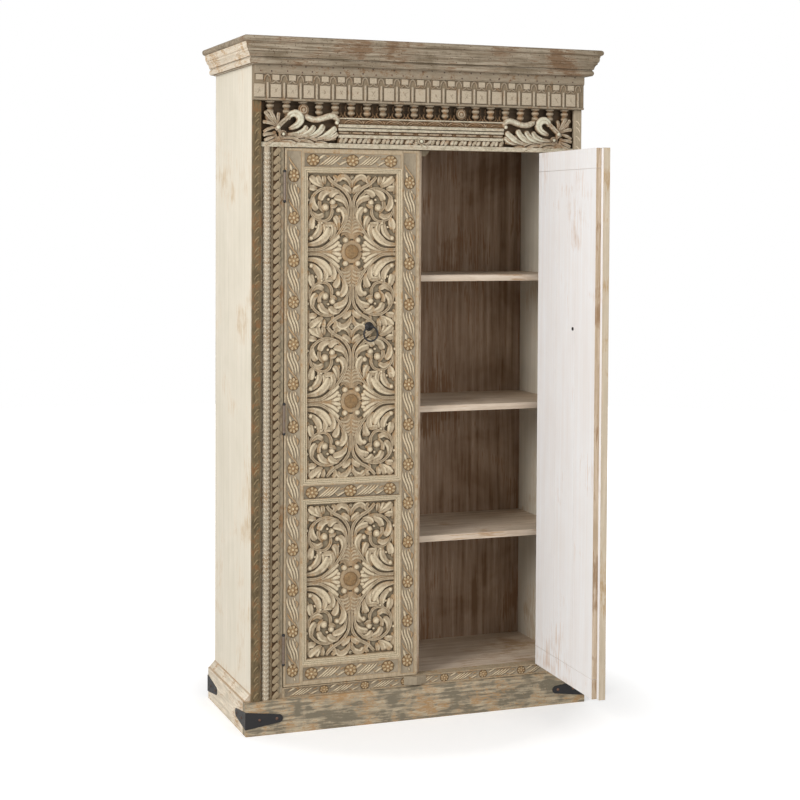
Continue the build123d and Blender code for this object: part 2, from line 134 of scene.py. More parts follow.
def lamp(name, place, aim, width, height, power, colour):
    """A rectangular soft lamp that points at aim."""
    light = bpy.data.lights.new(name, "AREA")
    light.shape = "RECTANGLE"
    light.size, light.size_y = width, height
    light.energy = power
    light.color = colour
    holder = bpy.data.objects.new(name, light)
    bpy.context.scene.collection.objects.link(holder)
    holder.location = place
    holder.rotation_euler = (Vector(aim) - Vector(place)).to_track_quat("-Z", "Y").to_euler()


lamp("window_left", (-5.4, -3.2, 3.1), (0, -0.1, 1.05), 2.0, 2.4, 290, (1.0, 0.985, 0.96))
lamp("front_fill", (1.2, -5.0, 2.2), (0, 0, 1.0), 3.0, 2.5, 55, (1.0, 0.99, 0.97))

bpy.context.scene.view_settings.view_transform = "Standard"


# ---- Plinth ----
# Mango-wood boards, painted grey-green, scraped back to cream and bare ochre wood. The same
# layered paint, in other strengths, is on every other wooden piece.
def tint(colour, factor, most=1):
    return tuple(min(most, part * factor) for part in colour)


def mix(tree, share, first, second):
    """Lays the second colour over the first one. A tuple is a plain colour."""
    first, second = ((*tone, 1) if isinstance(tone, tuple) else tone for tone in (first, second))
    return node(tree, "Mix", {"data_type": "RGBA"}, _0=share, _6=first, _7=second).outputs[2]


def speckle(tree, place, scale, detail, roughness, distortion=0.0):
    return node(tree, "TexNoise", Vector=place, Scale=scale, Detail=detail, Roughness=roughness,
                Distortion=distortion)


def painted_wood(name, grain, wash, under, bare, grime_and_shade, cover=0.5, brush=0.35, bare_share=0.2,
                 streak=(85, 5), patch=6.0, hollow=0.015, grime_and_shade_share=0.85, edge=0.003, edge_share=0.6,
                 ground=None, pits=0.0):
    """The wash lies over the under coat, bare wood shows where both are rubbed off, and a dark
    tone sits in hollows and joints, as grime and painted shade. grain is the axis that the boards
    run along, and streak says how many brush marks there are in a metre across it and along it.
    ground is the tone at the bottom of carving, its own colour and painted shade in the recesses,
    and pits the share of dark worm holes. Crests of carving get a lighter tone, whitewash left on
    the high spots and a painted highlight."""
    material, tree = empty_material(name)
    place = node(tree, "TexCoord").outputs["Object"]
    run = node(tree, "Mapping", Vector=place, Scale=[streak[axis == grain] for axis in "XYZ"])
    streaks = speckle(tree, run, 1.0, 5.0, 0.62)
    patches = speckle(tree, place, patch, 4.0, 0.6, distortion=0.4)
    flecks = speckle(tree, run, 4.0, 3.0, 0.7)
    caught = calculate(tree, "MULTIPLY_ADD", patches, 0.9, streaks)
    paint = mix(tree, ramp(tree, caught, 0.95 - brush / 2, 0.95 + brush / 2,
                           max(0.0, cover - 0.5), min(1.0, cover + 0.5)), under, wash)
    bare_wood = mix(tree, flecks, tint(bare, 0.5), tint(bare, 1.4))
    rubbed = calculate(tree, "MULTIPLY_ADD", flecks, 0.8, patches)
    worn = ramp(tree, rubbed, 1.06 - bare_share / 2, 1.16 - bare_share / 2, 0.0, 0.85)
    if edge:
        rim = node(tree, "AmbientOcclusion", {"inside": True, "only_local": True, "samples": 4},
                   Distance=edge)
        edges = calculate(tree, "MULTIPLY", ramp(tree, rim.outputs["AO"], 0.9, 0.45, 0.0, edge_share),
                          ramp(tree, streaks, 0.35, 0.6, 0.35, 1.0))
        worn = calculate(tree, "MAXIMUM", worn, edges)
    if ground:
        relief = node(tree, "Attribute", {"attribute_name": "relief"}).outputs["Fac"]
        height = calculate(tree, "MULTIPLY_ADD", flecks, 0.4, relief)
        flank = calculate(tree, "MULTIPLY", ramp(tree, height, 0.62, 0.92, 0.9, 0.0),
                          ramp(tree, patches, 0.40, 0.58, 0.5, 1.0))
        worn = calculate(tree, "MAXIMUM", worn, flank)
    colour = mix(tree, worn, paint, bare_wood)
    # The bottom of carving takes the darker ground tone: the ground's own colour and painted shade in the
    # recesses.
    if ground:
        bottom = mix(tree, streaks, tint(ground, 0.6), tint(ground, 1.4))
        colour = mix(tree, ramp(tree, height, 0.34, 0.62, 1.0, 0.0), colour, bottom)
        # The crests take a lighter tone: whitewash left on the high spots and a painted highlight.
        colour = mix(tree, ramp(tree, height, 1.08, 1.26, 0.0, 0.8), colour, tint(wash, 1.5, 0.8))
    if pits:
        eaten = ramp(tree, speckle(tree, place, 210.0, 2.0, 0.55), 0.72 - pits * 0.4,
                     0.78 - pits * 0.4, 0.0, 0.85)
        colour = mix(tree, eaten, colour, tint(bare, 0.45))
    # Ambient occlusion lays the dark tone in hollows and joints: grime and painted shade.
    if hollow:
        sunk = node(tree, "AmbientOcclusion", {"only_local": True, "samples": 4}, Distance=hollow)
        colour = mix(tree, ramp(tree, sunk.outputs["AO"], 0.85, 0.3, 0.0, grime_and_shade_share), colour, grime_and_shade)
    bump = node(tree, "Bump", Height=calculate(tree, "ADD", streaks, flecks), Strength=0.5,
                Distance=0.0012)
    shader = node(tree, "BsdfPrincipled", Base_Color=colour, Specular_IOR_Level=0.25, Normal=bump,
                  Roughness=ramp(tree, streaks, 0.3, 0.7, 0.62, 0.85))
    node(tree, "OutputMaterial", Surface=shader)
    return material


def dress(material, slot_name, *names):
    """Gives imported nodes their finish."""
    for name in names:
        if not nodes[name].material_slots:
            nodes[name].data.materials.append(None)
        for holder in nodes[name].material_slots:
            holder.material = material


scraped = dict(bare=(0.36, 0.21, 0.09), grime_and_shade=(0.07, 0.045, 0.025), edge_share=0.9, edge=0.004,
               pits=0.12)
plinth_paint = painted_wood("plinth_paint", "X", wash=(0.53, 0.44, 0.31), under=(0.19, 0.162, 0.114),
                            cover=0.34, brush=0.2, streak=(130, 14), patch=14.0, bare_share=0.26,
                            **scraped)
plinth_side_paint = painted_wood("plinth_side_paint", "Y", wash=(0.80, 0.71, 0.58),
                                 under=(0.44, 0.38, 0.285), cover=0.8, brush=0.3, streak=(120, 8),
                                 patch=9.0, bare_share=0.18, **scraped)
dress(plinth_paint, "plinth_wood", "plinth_front", "plinth_back", "plinth_bearer")
dress(plinth_side_paint, "plinth_wood", "plinth_sides", "base_mouldings")


# ---- Corner irons and their nails ----
# Forged strap irons bent round the plinth's corners, painted black. Each arm is held by two
# round-headed nails that have rusted.
def iron(name, colour, rust, rust_share, roughness):
    material, tree = empty_material(name)
    place = node(tree, "TexCoord").outputs["Object"]
    pits = speckle(tree, place, 190.0, 4.0, 0.65)
    rusty = ramp(tree, speckle(tree, place, 55.0, 4.0, 0.7), 0.72 - rust_share * 0.4,
                 0.85 - rust_share * 0.4, 0.0, 0.9)
    forged = mix(tree, pits, tint(colour, 0.7), tint(colour, 1.35))
    bump = node(tree, "Bump", Height=pits, Strength=0.6, Distance=0.0006)
    shader = node(tree, "BsdfPrincipled", Base_Color=mix(tree, rusty, forged, rust), Metallic=0.35,
                  Roughness=ramp(tree, pits, 0.3, 0.7, roughness - 0.1, roughness + 0.12), Normal=bump)
    node(tree, "OutputMaterial", Surface=shader)
    return material


black_iron = iron("black_iron", (0.022, 0.021, 0.022), (0.10, 0.055, 0.035), 0.15, 0.5)
nail_rust = iron("nail_rust", (0.075, 0.045, 0.035), (0.20, 0.10, 0.06), 0.6, 0.6)
dress(black_iron, "black_iron", "corner_irons")


def corners_of(name):
    """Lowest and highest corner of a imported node, in millimetres."""
    return [[round(part * 1000, 2) for part in corner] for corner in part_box(name)]


def take(*pieces):
    """Selects these pieces and no others, with the first one active."""
    bpy.ops.object.select_all(action="DESELECT")
    for piece in pieces:
        piece.select_set(True)
    bpy.context.view_layer.objects.active = pieces[0]


def join(name, *pieces):
    """Joins finished meshes into one piece with its place in its mesh."""
    take(*pieces)
    if len(pieces) > 1:
        bpy.ops.object.join()
    pieces[0].name = pieces[0].data.name = name
    return pieces[0]


def copies(name, model, places):
    """One mesh of copies of a modelled piece, one for each matrix. The model is used up."""
    spots = [corner.co.copy() for corner in model.data.vertices]
    faces = [tuple(face.vertices) for face in model.data.polygons]
    corners, polygons = [], []
    for place in places:
        first = len(corners)
        corners += [place @ spot for spot in spots]
        polygons += [tuple(first + n for n in face) for face in faces]
    mesh = bpy.data.meshes.new(name)
    mesh.from_pydata(corners, [], polygons)
    mesh.shade_smooth()
    made = bpy.data.objects.new(name, mesh)
    bpy.context.scene.collection.objects.link(made)
    bpy.data.objects.remove(model)
    return made


def at(x, y, z, wide=1000, deep=1000, tall=1000):
    """Matrix that brings a model of radius 1 m to its place and half sizes in millimetres."""
    return (Matrix.Translation((x / 1000, y / 1000, z / 1000))
            @ Matrix.Diagonal((wide / 1000, deep / 1000, tall / 1000, 1)))


def fix_in_place(piece):
    """Applies the object's place to its mesh."""
    take(piece)
    bpy.ops.object.transform_apply(location=True, rotation=True, scale=True)
    return piece


def button(rings=7, segments=14):
    """A round dome of radius 1 that faces the front, closed at the back."""
    bpy.ops.mesh.primitive_uv_sphere_add(segments=segments, ring_count=rings, radius=1,
                                         location=(0, 0, 0), rotation=(pi / 2, 0, 0))
    return fix_in_place(bpy.context.object)


def stand_for(piece, body, slot_name, material, *replaced):
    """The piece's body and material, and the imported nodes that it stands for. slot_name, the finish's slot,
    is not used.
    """
    if not piece.data.materials:
        piece.data.materials.append(material)
    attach(piece, body)
    if replaced:
        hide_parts(*replaced)


nail_radius, nail_rise, nail_height = 4.8, 2.6, 48.5
iron_x, iron_y = corners_of("corner_irons")[1][:2]
nail_places = []
for side in (-1, 1):
    for along in (45, 99):
        for end in (-1, 1):
            nail_places += [at(side * (iron_x - along), end * iron_y, nail_height,
                               nail_radius, nail_rise, nail_radius),
                            at(side * iron_x, end * (iron_y - along), nail_height,
                               nail_rise, nail_radius, nail_radius)]
stand_for(copies("iron_nail_heads", button(), nail_places), "cabinet", "rusty_nail", nail_rust,
          "corner_iron_nails")


# ---- Carcass ----
# Wide side boards under a thick cream whitewash, and an inside of planed boards with a thin
# brown wash that was rubbed with grey-white. The shelves' front edges kept more white.
side_paint = painted_wood("side_paint", "Z", wash=(0.74, 0.68, 0.575), under=(0.60, 0.55, 0.44),
                          bare=(0.53, 0.40, 0.25), grime_and_shade=(0.25, 0.18, 0.1), cover=0.66, brush=0.5,
                          bare_share=0.13, streak=(70, 3), patch=4.0, hollow=0, edge_share=0.45)
dress(side_paint, "side_wood", "side_panel_left", "side_panel_right")
inside_tones = dict(wash=(0.50, 0.375, 0.28), under=(0.18, 0.102, 0.052), bare=(0.20, 0.10, 0.042),
                    grime_and_shade=(0.045, 0.027, 0.015), brush=0.45, hollow=0.03, grime_and_shade_share=0.5,
                    edge_share=0.2)
back_wash = painted_wood("back_wash", "Z", cover=0.5, bare_share=0.25, streak=(60, 2.2), patch=3.5,
                         **inside_tones)
shelf_wash = painted_wood("shelf_wash", "X", wash=(0.70, 0.60, 0.49), under=(0.40, 0.30, 0.21),
                          bare=(0.38, 0.24, 0.13), grime_and_shade=(0.08, 0.05, 0.03), cover=0.6, brush=0.4,
                          bare_share=0.15, streak=(50, 2.5), patch=4.0, hollow=0.02, grime_and_shade_share=0.4,
                          edge_share=0.3)
dress(back_wash, "inside_wood", "back_boards", "carcass_ceiling")
dress(shelf_wash, "inside_wood", "shelf_lower", "shelf_middle", "shelf_upper", "carcass_floor")


# ---- Face frame ----
# Two stiles and a header rail stand at the carcass's front edges, halved and nailed. The stiles
# have one dark limewash that has worn through; the header rail, seen in the gaps behind the
# balusters and brackets, is painted nearly black as painted shade. Everything beside and over
# the doors is fixed to them.
greige = dict(wash=(0.56, 0.46, 0.325), under=(0.27, 0.20, 0.118), bare=(0.35, 0.20, 0.08),
              grime_and_shade=(0.045, 0.028, 0.015))
frame_paint = painted_wood("frame_paint", "Z", cover=0.5, brush=0.5, streak=(150, 12), patch=9.0,
                           bare_share=0.24, edge_share=0.4, pits=0.1, wash=(0.40, 0.335, 0.24),
                           under=(0.215, 0.17, 0.105), bare=(0.26, 0.14, 0.055),
                           grime_and_shade=(0.04, 0.025, 0.013))
# The header rail's near-black paint is painted shade for the gaps behind the balusters and brackets.
header_rail_shade = painted_wood("header_rail_shade", "X", cover=0.2, brush=0.5, streak=(150, 12), patch=9.0,
                          bare_share=0.3, edge_share=0.5, wash=(0.20, 0.145, 0.09),
                          under=(0.07, 0.045, 0.026), bare=(0.12, 0.065, 0.03), grime_and_shade=(0.02, 0.013, 0.008))
dress(frame_paint, "carved_wood", "face_stile_left", "face_stile_right", "door_stop")
dress(header_rail_shade, "carved_wood", "header_rail")
(_, face, frame_low), (_, _, frame_high) = corners_of("face_stile_left")
body_side = corners_of("frieze_board")[1][0]


# ---- Sill ----
# A rail between the stiles, under the doors. A vine with flowers is carved in a sunk channel,
# and a keel-shaped block is nailed on where the doors meet.
def shape_with(piece, kind, **settings):
    """Applies one modifier."""
    change = piece.modifiers.new("change", kind)
    for key, value in settings.items():
        setattr(change, key, value)
    take(piece)
    bpy.ops.object.modifier_apply(modifier=change.name)


def soften(piece, width):
    """Wears the sharp edges round. The width is in millimetres."""
    shape_with(piece, "BEVEL", width=width / 1000, segments=2, limit_method="ANGLE",
               angle_limit=radians(35))
    bpy.ops.object.shade_smooth_by_angle(angle=radians(20))
    return piece


def plank(name, x0, x1, y0, y1, z0, z1, worn=1.0):
    """A board between two corners given in millimetres, with its edges worn round."""
    bpy.ops.object.select_all(action="DESELECT")
    bpy.ops.mesh.primitive_cube_add(
        size=0.001, location=((x0 + x1) / 2000, (y0 + y1) / 2000, (z0 + z1) / 2000),
        scale=(abs(x1 - x0), abs(y1 - y0), abs(z1 - z0)))
    board = fix_in_place(bpy.context.object)
    board.name = name
    return soften(board, worn) if worn else board


def store_relief(piece, rule):
    """Stores how high each point (x, y, z) stands, from 0 to 1, which the paint reads."""
    heights = piece.data.attributes.new("relief", "FLOAT", "POINT")
    heights.data.foreach_set("value", [rule(*(corner.co * 1000)) for corner in piece.data.vertices])
    return piece


def mark_relief(piece, ground, crest, most=1.0):
    """Relief that rises towards the front, from 0 at ground to most at crest."""
    return store_relief(piece, lambda x, y, z: most * min(1.0, max(0.0, (ground - y) / (ground - crest))))


def sink(piece, x0, x1, z0, z1, depth, wall):
    """Cuts a channel into the front of a board. Its floor counts as ground for the paint."""
    x0, x1 = sorted((x0, x1))
    front = min(corner.co.y for corner in piece.data.vertices) * 1000
    take(piece)
    bpy.ops.object.mode_set(mode="EDIT")
    bpy.ops.mesh.select_mode(type="FACE")
    for place, facing in ((x0, (1, 0, 0)), (x1, (1, 0, 0)), (z0, (0, 0, 1)), (z1, (0, 0, 1))):
        bpy.ops.mesh.select_all(action="SELECT")
        bpy.ops.mesh.bisect(plane_co=[place / 1000 * part for part in facing], plane_no=facing)
    bpy.ops.mesh.select_all(action="DESELECT")
    shape = bmesh.from_edit_mesh(piece.data)
    for side in shape.faces:
        middle = side.calc_center_median() * 1000
        inside = x0 < middle.x < x1 and z0 < middle.z < z1
        side.select_set(inside and side.normal.y < -0.9 and middle.y < front + 1)
    bmesh.update_edit_mesh(piece.data)
    bpy.ops.mesh.inset(thickness=wall / 1000, depth=-depth / 1000, use_even_offset=True)
    bpy.ops.object.mode_set(mode="OBJECT")

    def ground_or_rim(x, y, z):
        inside = x0 + wall / 2 < x < x1 - wall / 2 and z0 < z < z1
        return 0.0 if inside and front + 1 < y < front + depth + 1 else 0.8

    store_relief(piece, ground_or_rim)


round_cut = [(-1, -0.4), (-1, 0), (-0.88, 0.5), (-0.5, 0.88), (0, 1), (0.5, 0.88), (0.88, 0.5),
             (1, 0), (1, -0.4)]


def carve(name, strokes, outline, ground, cap, roughness=0.35):
    """Carved forms that stand on a ground towards the front. A stroke is a list of points
    (x, z, half-width) in millimetres, and outline is its cross-section for half-width 1.
    cap is the height at which the forms flatten off, as in a board of that thickness."""
    section = bpy.data.curves.new("section", "CURVE")
    section.dimensions, section.fill_mode = "2D", "NONE"
    spline = section.splines.new("POLY")
    spline.points.add(len(outline) - 1)
    for point, (x, y) in zip(spline.points, outline):
        point.co = (x / 1000, y / 1000, 0, 1)
    spline.use_cyclic_u = True
    cutter = bpy.data.objects.new("section", section)
    bpy.context.scene.collection.objects.link(cutter)
    curve = bpy.data.curves.new(name, "CURVE")
    curve.dimensions, curve.fill_mode = "2D", "NONE"
    curve.bevel_mode, curve.bevel_object, curve.use_fill_caps = "OBJECT", cutter, True
    curve.resolution_u = 4
    for stroke in strokes:
        spline = curve.splines.new("BEZIER")
        spline.bezier_points.add(len(stroke) - 1)
        for point, (x, z, half_width) in zip(spline.bezier_points, stroke):
            point.co = (x / 1000, z / 1000, 0)
            point.radius = half_width
            point.handle_left_type = point.handle_right_type = "AUTO"
    lines = bpy.data.objects.new(name, curve)
    bpy.context.scene.collection.objects.link(lines)
    take(lines)
    bpy.ops.object.convert(target="MESH")
    carved = bpy.context.object
    bpy.data.objects.remove(cutter)
    bpy.ops.object.mode_set(mode="EDIT")
    bpy.ops.mesh.select_all(action="SELECT")
    bpy.ops.mesh.remove_doubles(threshold=0.00002)
    bpy.ops.object.mode_set(mode="OBJECT")
    for corner in carved.data.vertices:
        x, z, height = corner.co * 1000
        if height > 0:
            height = cap * tanh(height / cap)
            height += roughness * noise.noise(Vector((x, z, height)) * 0.12)
        corner.co = (x / 1000, (ground - height) / 1000, z / 1000)
    bpy.ops.object.shade_smooth_by_angle(angle=radians(50))
    return carved


def drawn(x, z, points, across=1, up=1):
    """A stroke drawn round (0, 0), stretched, and moved to (x, z)."""
    return [(x + across * dx, z + up * dz, half_width) for dx, dz, half_width in points]


def rosettes(places, tall, ground, across, depth=5.0):
    """Flowers at (x, z): seven cupped petals round a ball, on a disc. All in millimetres."""
    petal = button(rings=8, segments=12)
    for corner in petal.data.vertices:
        reach = hypot(corner.co.x, corner.co.z)
        if corner.co.y < 0 and reach < 0.62:
            corner.co.y *= 0.62 + 0.38 * (reach / 0.62) ** 2
    petals = copies("petals", petal, [Matrix.Rotation(n * 2 * pi / 7, 4, "Y") @ at(0, 0, 655, 245, 950, 285)
                                      for n in range(7)])
    ball = copies("ball", button(), [at(0, 0, 0, 250, 1050, 250)])
    disc = copies("disc", button(rings=8, segments=21), [at(0, 0, 0, 1030, 420, 1030)])
    blooms = copies("blooms", join("rosette", petals, ball, disc), [
        at(x, ground, z, across / 2, depth, tall / 2) @ Matrix.Rotation(radians(11 * n), 4, "Y")
        for n, (x, z) in enumerate(places)])
    blooms.data.materials.append(flower_paint)
    return mark_relief(blooms, ground, ground - depth * 0.95)


def rail_leaves(flowers):
    """White and ochre strokes between the flowers of a level band: a finger, a broad slanting
    leaf with a ribbed face, and a bud that rises into the next flower."""
    white, ochre = [], []
    for (x, z), (next_x, _) in zip(flowers, flowers[1:]):
        share = (next_x - x) / 125
        strands = [[(18 + o, -16, 0.9), (29 + o, -10, 3.0), (41 + o, -1, 3.5), (52 + o, 8, 3.0),
                    (61 + o, 16, 0.9)] for o in (0, 10.6, 21.2, 31.8)]
        white += [drawn(x, z, points, share) for points in (
            [(17, 2, 1.5), (24, 8, 3.8), (33, 14, 3.8), (40, 16.5, 1.3)], *strands,
            [(80, -15, 1.4), (90, -10, 3.7), (99, -5, 3.4), (107, -2, 1.5)])]
        ochre += [drawn(x, z, points, share) for points in (
            [(41, 15, 1.4), (47, 12, 3.4), (52, 15, 1.2)], [(74, -6, 1.2), (82, -10, 2.6), (88, -15, 1.2)],
            [(90, 3, 1.2), (98, 7, 3.0), (106, 10, 1.2)])]
    return white, ochre


def leaf_band(white, ochre, ground, crest, x0, x1, z0, z1):
    """Carves the strokes that lie inside the band, the ochre ones with less paint."""
    leaves = []
    for strokes, depth, most in ((white, 1.9, 0.97), (ochre, 1.8, 0.5)):
        inside = [stroke for stroke in strokes
                  if all(min(x0, x1) < x < max(x0, x1) and z0 < z < z1 for x, z, _ in stroke)]
        leaf = carve("leaves", inside, round_cut, ground, ground - crest)
        leaf.data.materials.append(band_paint)
        leaves.append(mark_relief(leaf, ground, ground - depth, most))
    return leaves


band_paint = painted_wood("band_paint", "Z", cover=0.6, brush=0.6, streak=(170, 60), patch=36.0,
                          bare_share=0.18, hollow=0.006, grime_and_shade_share=0.65, ground=(0.31, 0.255, 0.18),
                          edge=None, pits=0.08, **greige)
flower_paint = painted_wood("flower_paint", "Z", wash=(0.54, 0.44, 0.29), under=(0.40, 0.275, 0.14),
                            bare=(0.30, 0.165, 0.065), grime_and_shade=(0.05, 0.028, 0.012), cover=0.5,
                            streak=(170, 60), patch=50.0, bare_share=0.16, hollow=0.005, grime_and_shade_share=0.9,
                            ground=(0.12, 0.075, 0.035), edge=None)
dress(band_paint, "carved_wood", "sill_block")

(sill_left, sill_front, sill_low), (sill_right, sill_back, sill_top) = corners_of("sill_rail")
squeeze = 0.78
sill = plank("sill_board", sill_left, sill_right, sill_front, sill_back, sill_low, sill_top, worn=0.8)
sill.data.materials.append(band_paint)
sink(sill, sill_left + 5.5, sill_right - 5.5, sill_low + 2.5, sill_top - 1.5, 3.5, wall=2)
sill_ground = sill_front + 3.5
sill_flowers = [(sill_left + 0.5 + 133 * n, (sill_low + sill_top) / 2) for n in range(8)]
blooms = rosettes(sill_flowers[1:7], 25, sill_ground, 29, depth=3.6)
vine = [[[(x, z * squeeze, w * 0.8) for x, z, w in stroke] for stroke in strokes]
        for strokes in rail_leaves([(x, z / squeeze) for x, z in sill_flowers])]
leaves = leaf_band(*vine, sill_ground, sill_ground - 3.7, -438, 438, sill_low - 1, sill_top)
stand_for(join("sill_vine", sill, blooms, *leaves), "cabinet", "carved_wood", band_paint, "sill_rail")


# ---- Corner posts ----
# Flat posts planted on the stiles' outer edges from the plinth to the frieze, cut with rows of
# short leaf arcs. Both carry one limewash in a shaded and a lit copy: the left post's is darker,
# painted shade, and the right post's is lighter, painted light.
# The left post's copy of the limewash is darkened as painted shade.
shaded_post_paint = painted_wood("shaded_post_paint", "Z", cover=0.5, brush=0.5, streak=(150, 30), patch=24.0,
                          bare_share=0.26, hollow=0.008, grime_and_shade_share=0.8, edge=None,
                          ground=(0.06, 0.04, 0.02), wash=(0.20, 0.15, 0.08),
                          under=(0.08, 0.055, 0.026), bare=(0.20, 0.095, 0.035),
                          grime_and_shade=(0.03, 0.018, 0.01), pits=0.16)
# The right post's copy of the limewash is lighter, as painted light.
lit_post_paint = painted_wood("lit_post_paint", "Z", cover=0.6, brush=0.6, streak=(150, 20),
                              patch=14.0, bare_share=0.12, hollow=0.008, grime_and_shade_share=0.8, edge=None,
                              ground=(0.12, 0.08, 0.045), wash=(0.50, 0.42, 0.31),
                              under=(0.28, 0.22, 0.14), bare=(0.30, 0.16, 0.07),
                              grime_and_shade=(0.04, 0.024, 0.012), pits=0.1)
posts = []
post_end, post_front, post_top = 520, -214.4, corners_of("frieze_board")[0][2]
post_arcs = ([(3, -8, 0.8), (1.5, 0, 2.4), (-4, 9, 3.0), (-11, 14, 2.8), (-15, 13, 1.0)],
             [(-4, -9, 0.7), (-6, -2, 1.9), (-11, 4, 2.2), (-15, 4, 0.8)])
for side in (-1, 1):
    board = plank("post", side * body_side, side * post_end, post_front, face, frame_low, post_top, worn=1.6)
    heights = [112 + 27 * n + 4 * sin(2.1 * n) for n in range(66)]
    arcs = carve("arcs", [drawn(side * 538, z, arc, side) for z in heights for arc in post_arcs],
                 round_cut, post_front + 1, 2.6)
    for part in (board, arcs):
        part.data.materials.append(shaded_post_paint if side < 0 else lit_post_paint)
    posts += [mark_relief(board, -150, -214, 0.85), mark_relief(arcs, -212, -215.4, 1.06)]
stand_for(join("leaf_posts", *posts), "cabinet", "carved_wood", shaded_post_paint, "corner_posts")


# ---- Half columns ----
# Half-round columns beside the posts, covered with rows of small leaves that lean left and
# right in turn. They are glued to the stiles.
column_paint = painted_wood("column_paint", "Z", cover=0.7, brush=0.6, streak=(150, 30), patch=16.0,
                            bare_share=0.14, hollow=0.004, grime_and_shade_share=0.8, edge=None,
                            ground=(0.16, 0.115, 0.06), wash=(0.56, 0.49, 0.385),
                            under=(0.33, 0.27, 0.185), bare=(0.31, 0.19, 0.09),
                            grime_and_shade=(0.06, 0.035, 0.018), pits=0.1)
column_x, column_radius = 500, 11.2
columns, leaves = [], []
for side in (-1, 1):
    bpy.ops.object.select_all(action="DESELECT")
    bpy.ops.mesh.primitive_cylinder_add(
        vertices=24, radius=column_radius / 1000, depth=(frame_high - frame_low) / 1000,
        location=(side * column_x / 1000, face / 1000, (frame_high + frame_low) / 2000))
    columns.append(fix_in_place(bpy.context.object))
    for row in range(124):
        for around, lean in ((-66, 36), (-24, -36), (20, 36), (62, -36)):
            leaves.append(at(side * column_x, face, frame_low + 7 + 13.4 * row)
                          @ Matrix.Rotation(radians(around), 4, "Z") @ at(0, -10.4, 0)
                          @ Matrix.Rotation(radians(lean), 4, "Y") @ at(0, 0, 0, 3.0, 2.1, 7.2))
column = join("leafy_columns", *columns, copies("leaves", button(rings=5, segments=8), leaves))
store_relief(column, lambda x, y, z: min(1.0, max(
    0.0, 0.62 + (hypot(abs(x) - column_x, y - face) - column_radius) / 3.2)))
stand_for(column, "cabinet", "carved_wood", column_paint, "half_columns")


# ---- Rope strips ----
# A narrow strip of blades and a thick rope between two rims, planted between the columns and
# the doors. Their hollows and the flat bed between the rope's turns are painted nearly black,
# a painted shade.
rope_paint = painted_wood("rope_paint", "Z", cover=0.55, brush=0.6, streak=(150, 30), patch=14.0,
                          bare_share=0.2, hollow=0.008, grime_and_shade_share=0.95, ground=(0.07, 0.035, 0.013),
                          edge=None, pits=0.1, wash=(0.27, 0.21, 0.135), under=(0.14, 0.10, 0.052),
                          bare=(0.24, 0.125, 0.045), grime_and_shade=(0.03, 0.017, 0.008))
rope_boards = (("strip", 488, 479, -202.2, 0.6, -204), ("rim", 484.5, 481.5, -203.2, 0.8, -203),
               ("rope_edge", 462, 458.6, -203.4, 0.7, -203))
rope_turn = ((478.5, -5, 1.5), (477, -3.5, 5.4), (473.5, 0, 7.8), (467.5, 6.5, 8.5), (462, 12.5, 8.6),
             (459, 16, 8.0))
rope_blade = ((487.5, -3, 0.9), (486, 3, 2.3), (483.5, 9, 2.4), (480.5, 13, 0.8))
strips, turns, blades = [], [], []
for side in (-1, 1):
    for name, x0, x1, front, worn, crest in rope_boards:
        strips.append(mark_relief(plank(name, side * x0, side * x1, front, face, frame_low, frame_high,
                                        worn=worn), -199, crest))
    # The bed between the rope's turns has relief 0 and takes the near-black ground tone: painted shade.
    strips.append(mark_relief(plank("rope_bed", side * 480, side * 459, -201.2, face, frame_low,
                                    frame_high, worn=0.3), -203, -210))
    for n in range(67):
        z = 104 + 25 * n + 1.5 * sin(1.9 * n)
        turns.append(drawn(0, z, rope_turn, side))
        blades.append(drawn(0, z, rope_blade, side))
turns = mark_relief(carve("turns", turns, round_cut, -200.8, 4.2, roughness=0.5), -201, -203.8)
blades = mark_relief(carve("blades", blades, round_cut, -201.8, 2.2), -202, -203.6)
stand_for(join("rope_strips_carved", *strips, turns, blades), "cabinet", "carved_wood", rope_paint,
          "rope_strips")


# ---- Carved header ----
# Over the doors: a broad fillet, a row of slanting gadroons, a bar of long beads, two ledges
# and a row of lotus arches, all cut by hand in one thick board, so that no two are alike.
(_, header_front, header_low), (header_end, header_back, header_top) = corners_of("carved_header")
row_end, row_ground = 275, -203
boards = [plank("fillet", -header_end, header_end, header_front, header_back, header_low, 1789.5, worn=2.0),
          plank("board", -row_end, row_end, row_ground, header_back, 1789, header_top, worn=0)]
boards += [plank("ledge", -row_end, row_end, front, face, low, high, worn=worn)
           for front, low, high, worn in ((-208.5, 1806.5, 1816.5, 1.6), (-210.5, 1828, 1836.5, 2.0),
                                          (-213, 1838, 1847.5, 2.2), (-208, 1863.5, header_top, 1.0))]
header = [mark_relief(join("boards", *boards), -201, -208, 0.92)]
gadroons, arches, bars = [], [], []
for side in (-1, 1):
    for n in range(17):
        x = side * (21 + 15.4 * n + 2.2 * sin(n * 2.7 + side))
        lean = 4.5 + 2.0 * sin(n * 1.9 + side)
        gadroons.append(drawn(x, 1789, [(-1, 0, 4.0), (-0.6, 4, 6.3), (0.2, 10, 6.9), (1, 15.5, 6.0),
                                        (1.2, 18, 3.5)], lean))
for n in range(8):
    x = -226 + 67.7 * n + 2 * sin(n * 3.1)
    arches += [drawn(x, 1848, arch) for arch in (
        [(-30, 0, 2.0), (-25, 7, 2.8), (-14, 12.5, 3.1), (0, 14.5, 3.2), (14, 12.5, 3.1), (25, 7, 2.8),
         (30, 0, 2.0)],
        [(-19, 0, 1.8), (-13, 6, 2.5), (0, 9, 2.7), (13, 6, 2.5), (19, 0, 1.8)],
        [(27, 14, 1.4), (32, 8, 3.4), (33.5, 2, 2.6)], [(40, 14, 1.4), (36, 8, 2.6), (34.5, 2, 1.6)])]
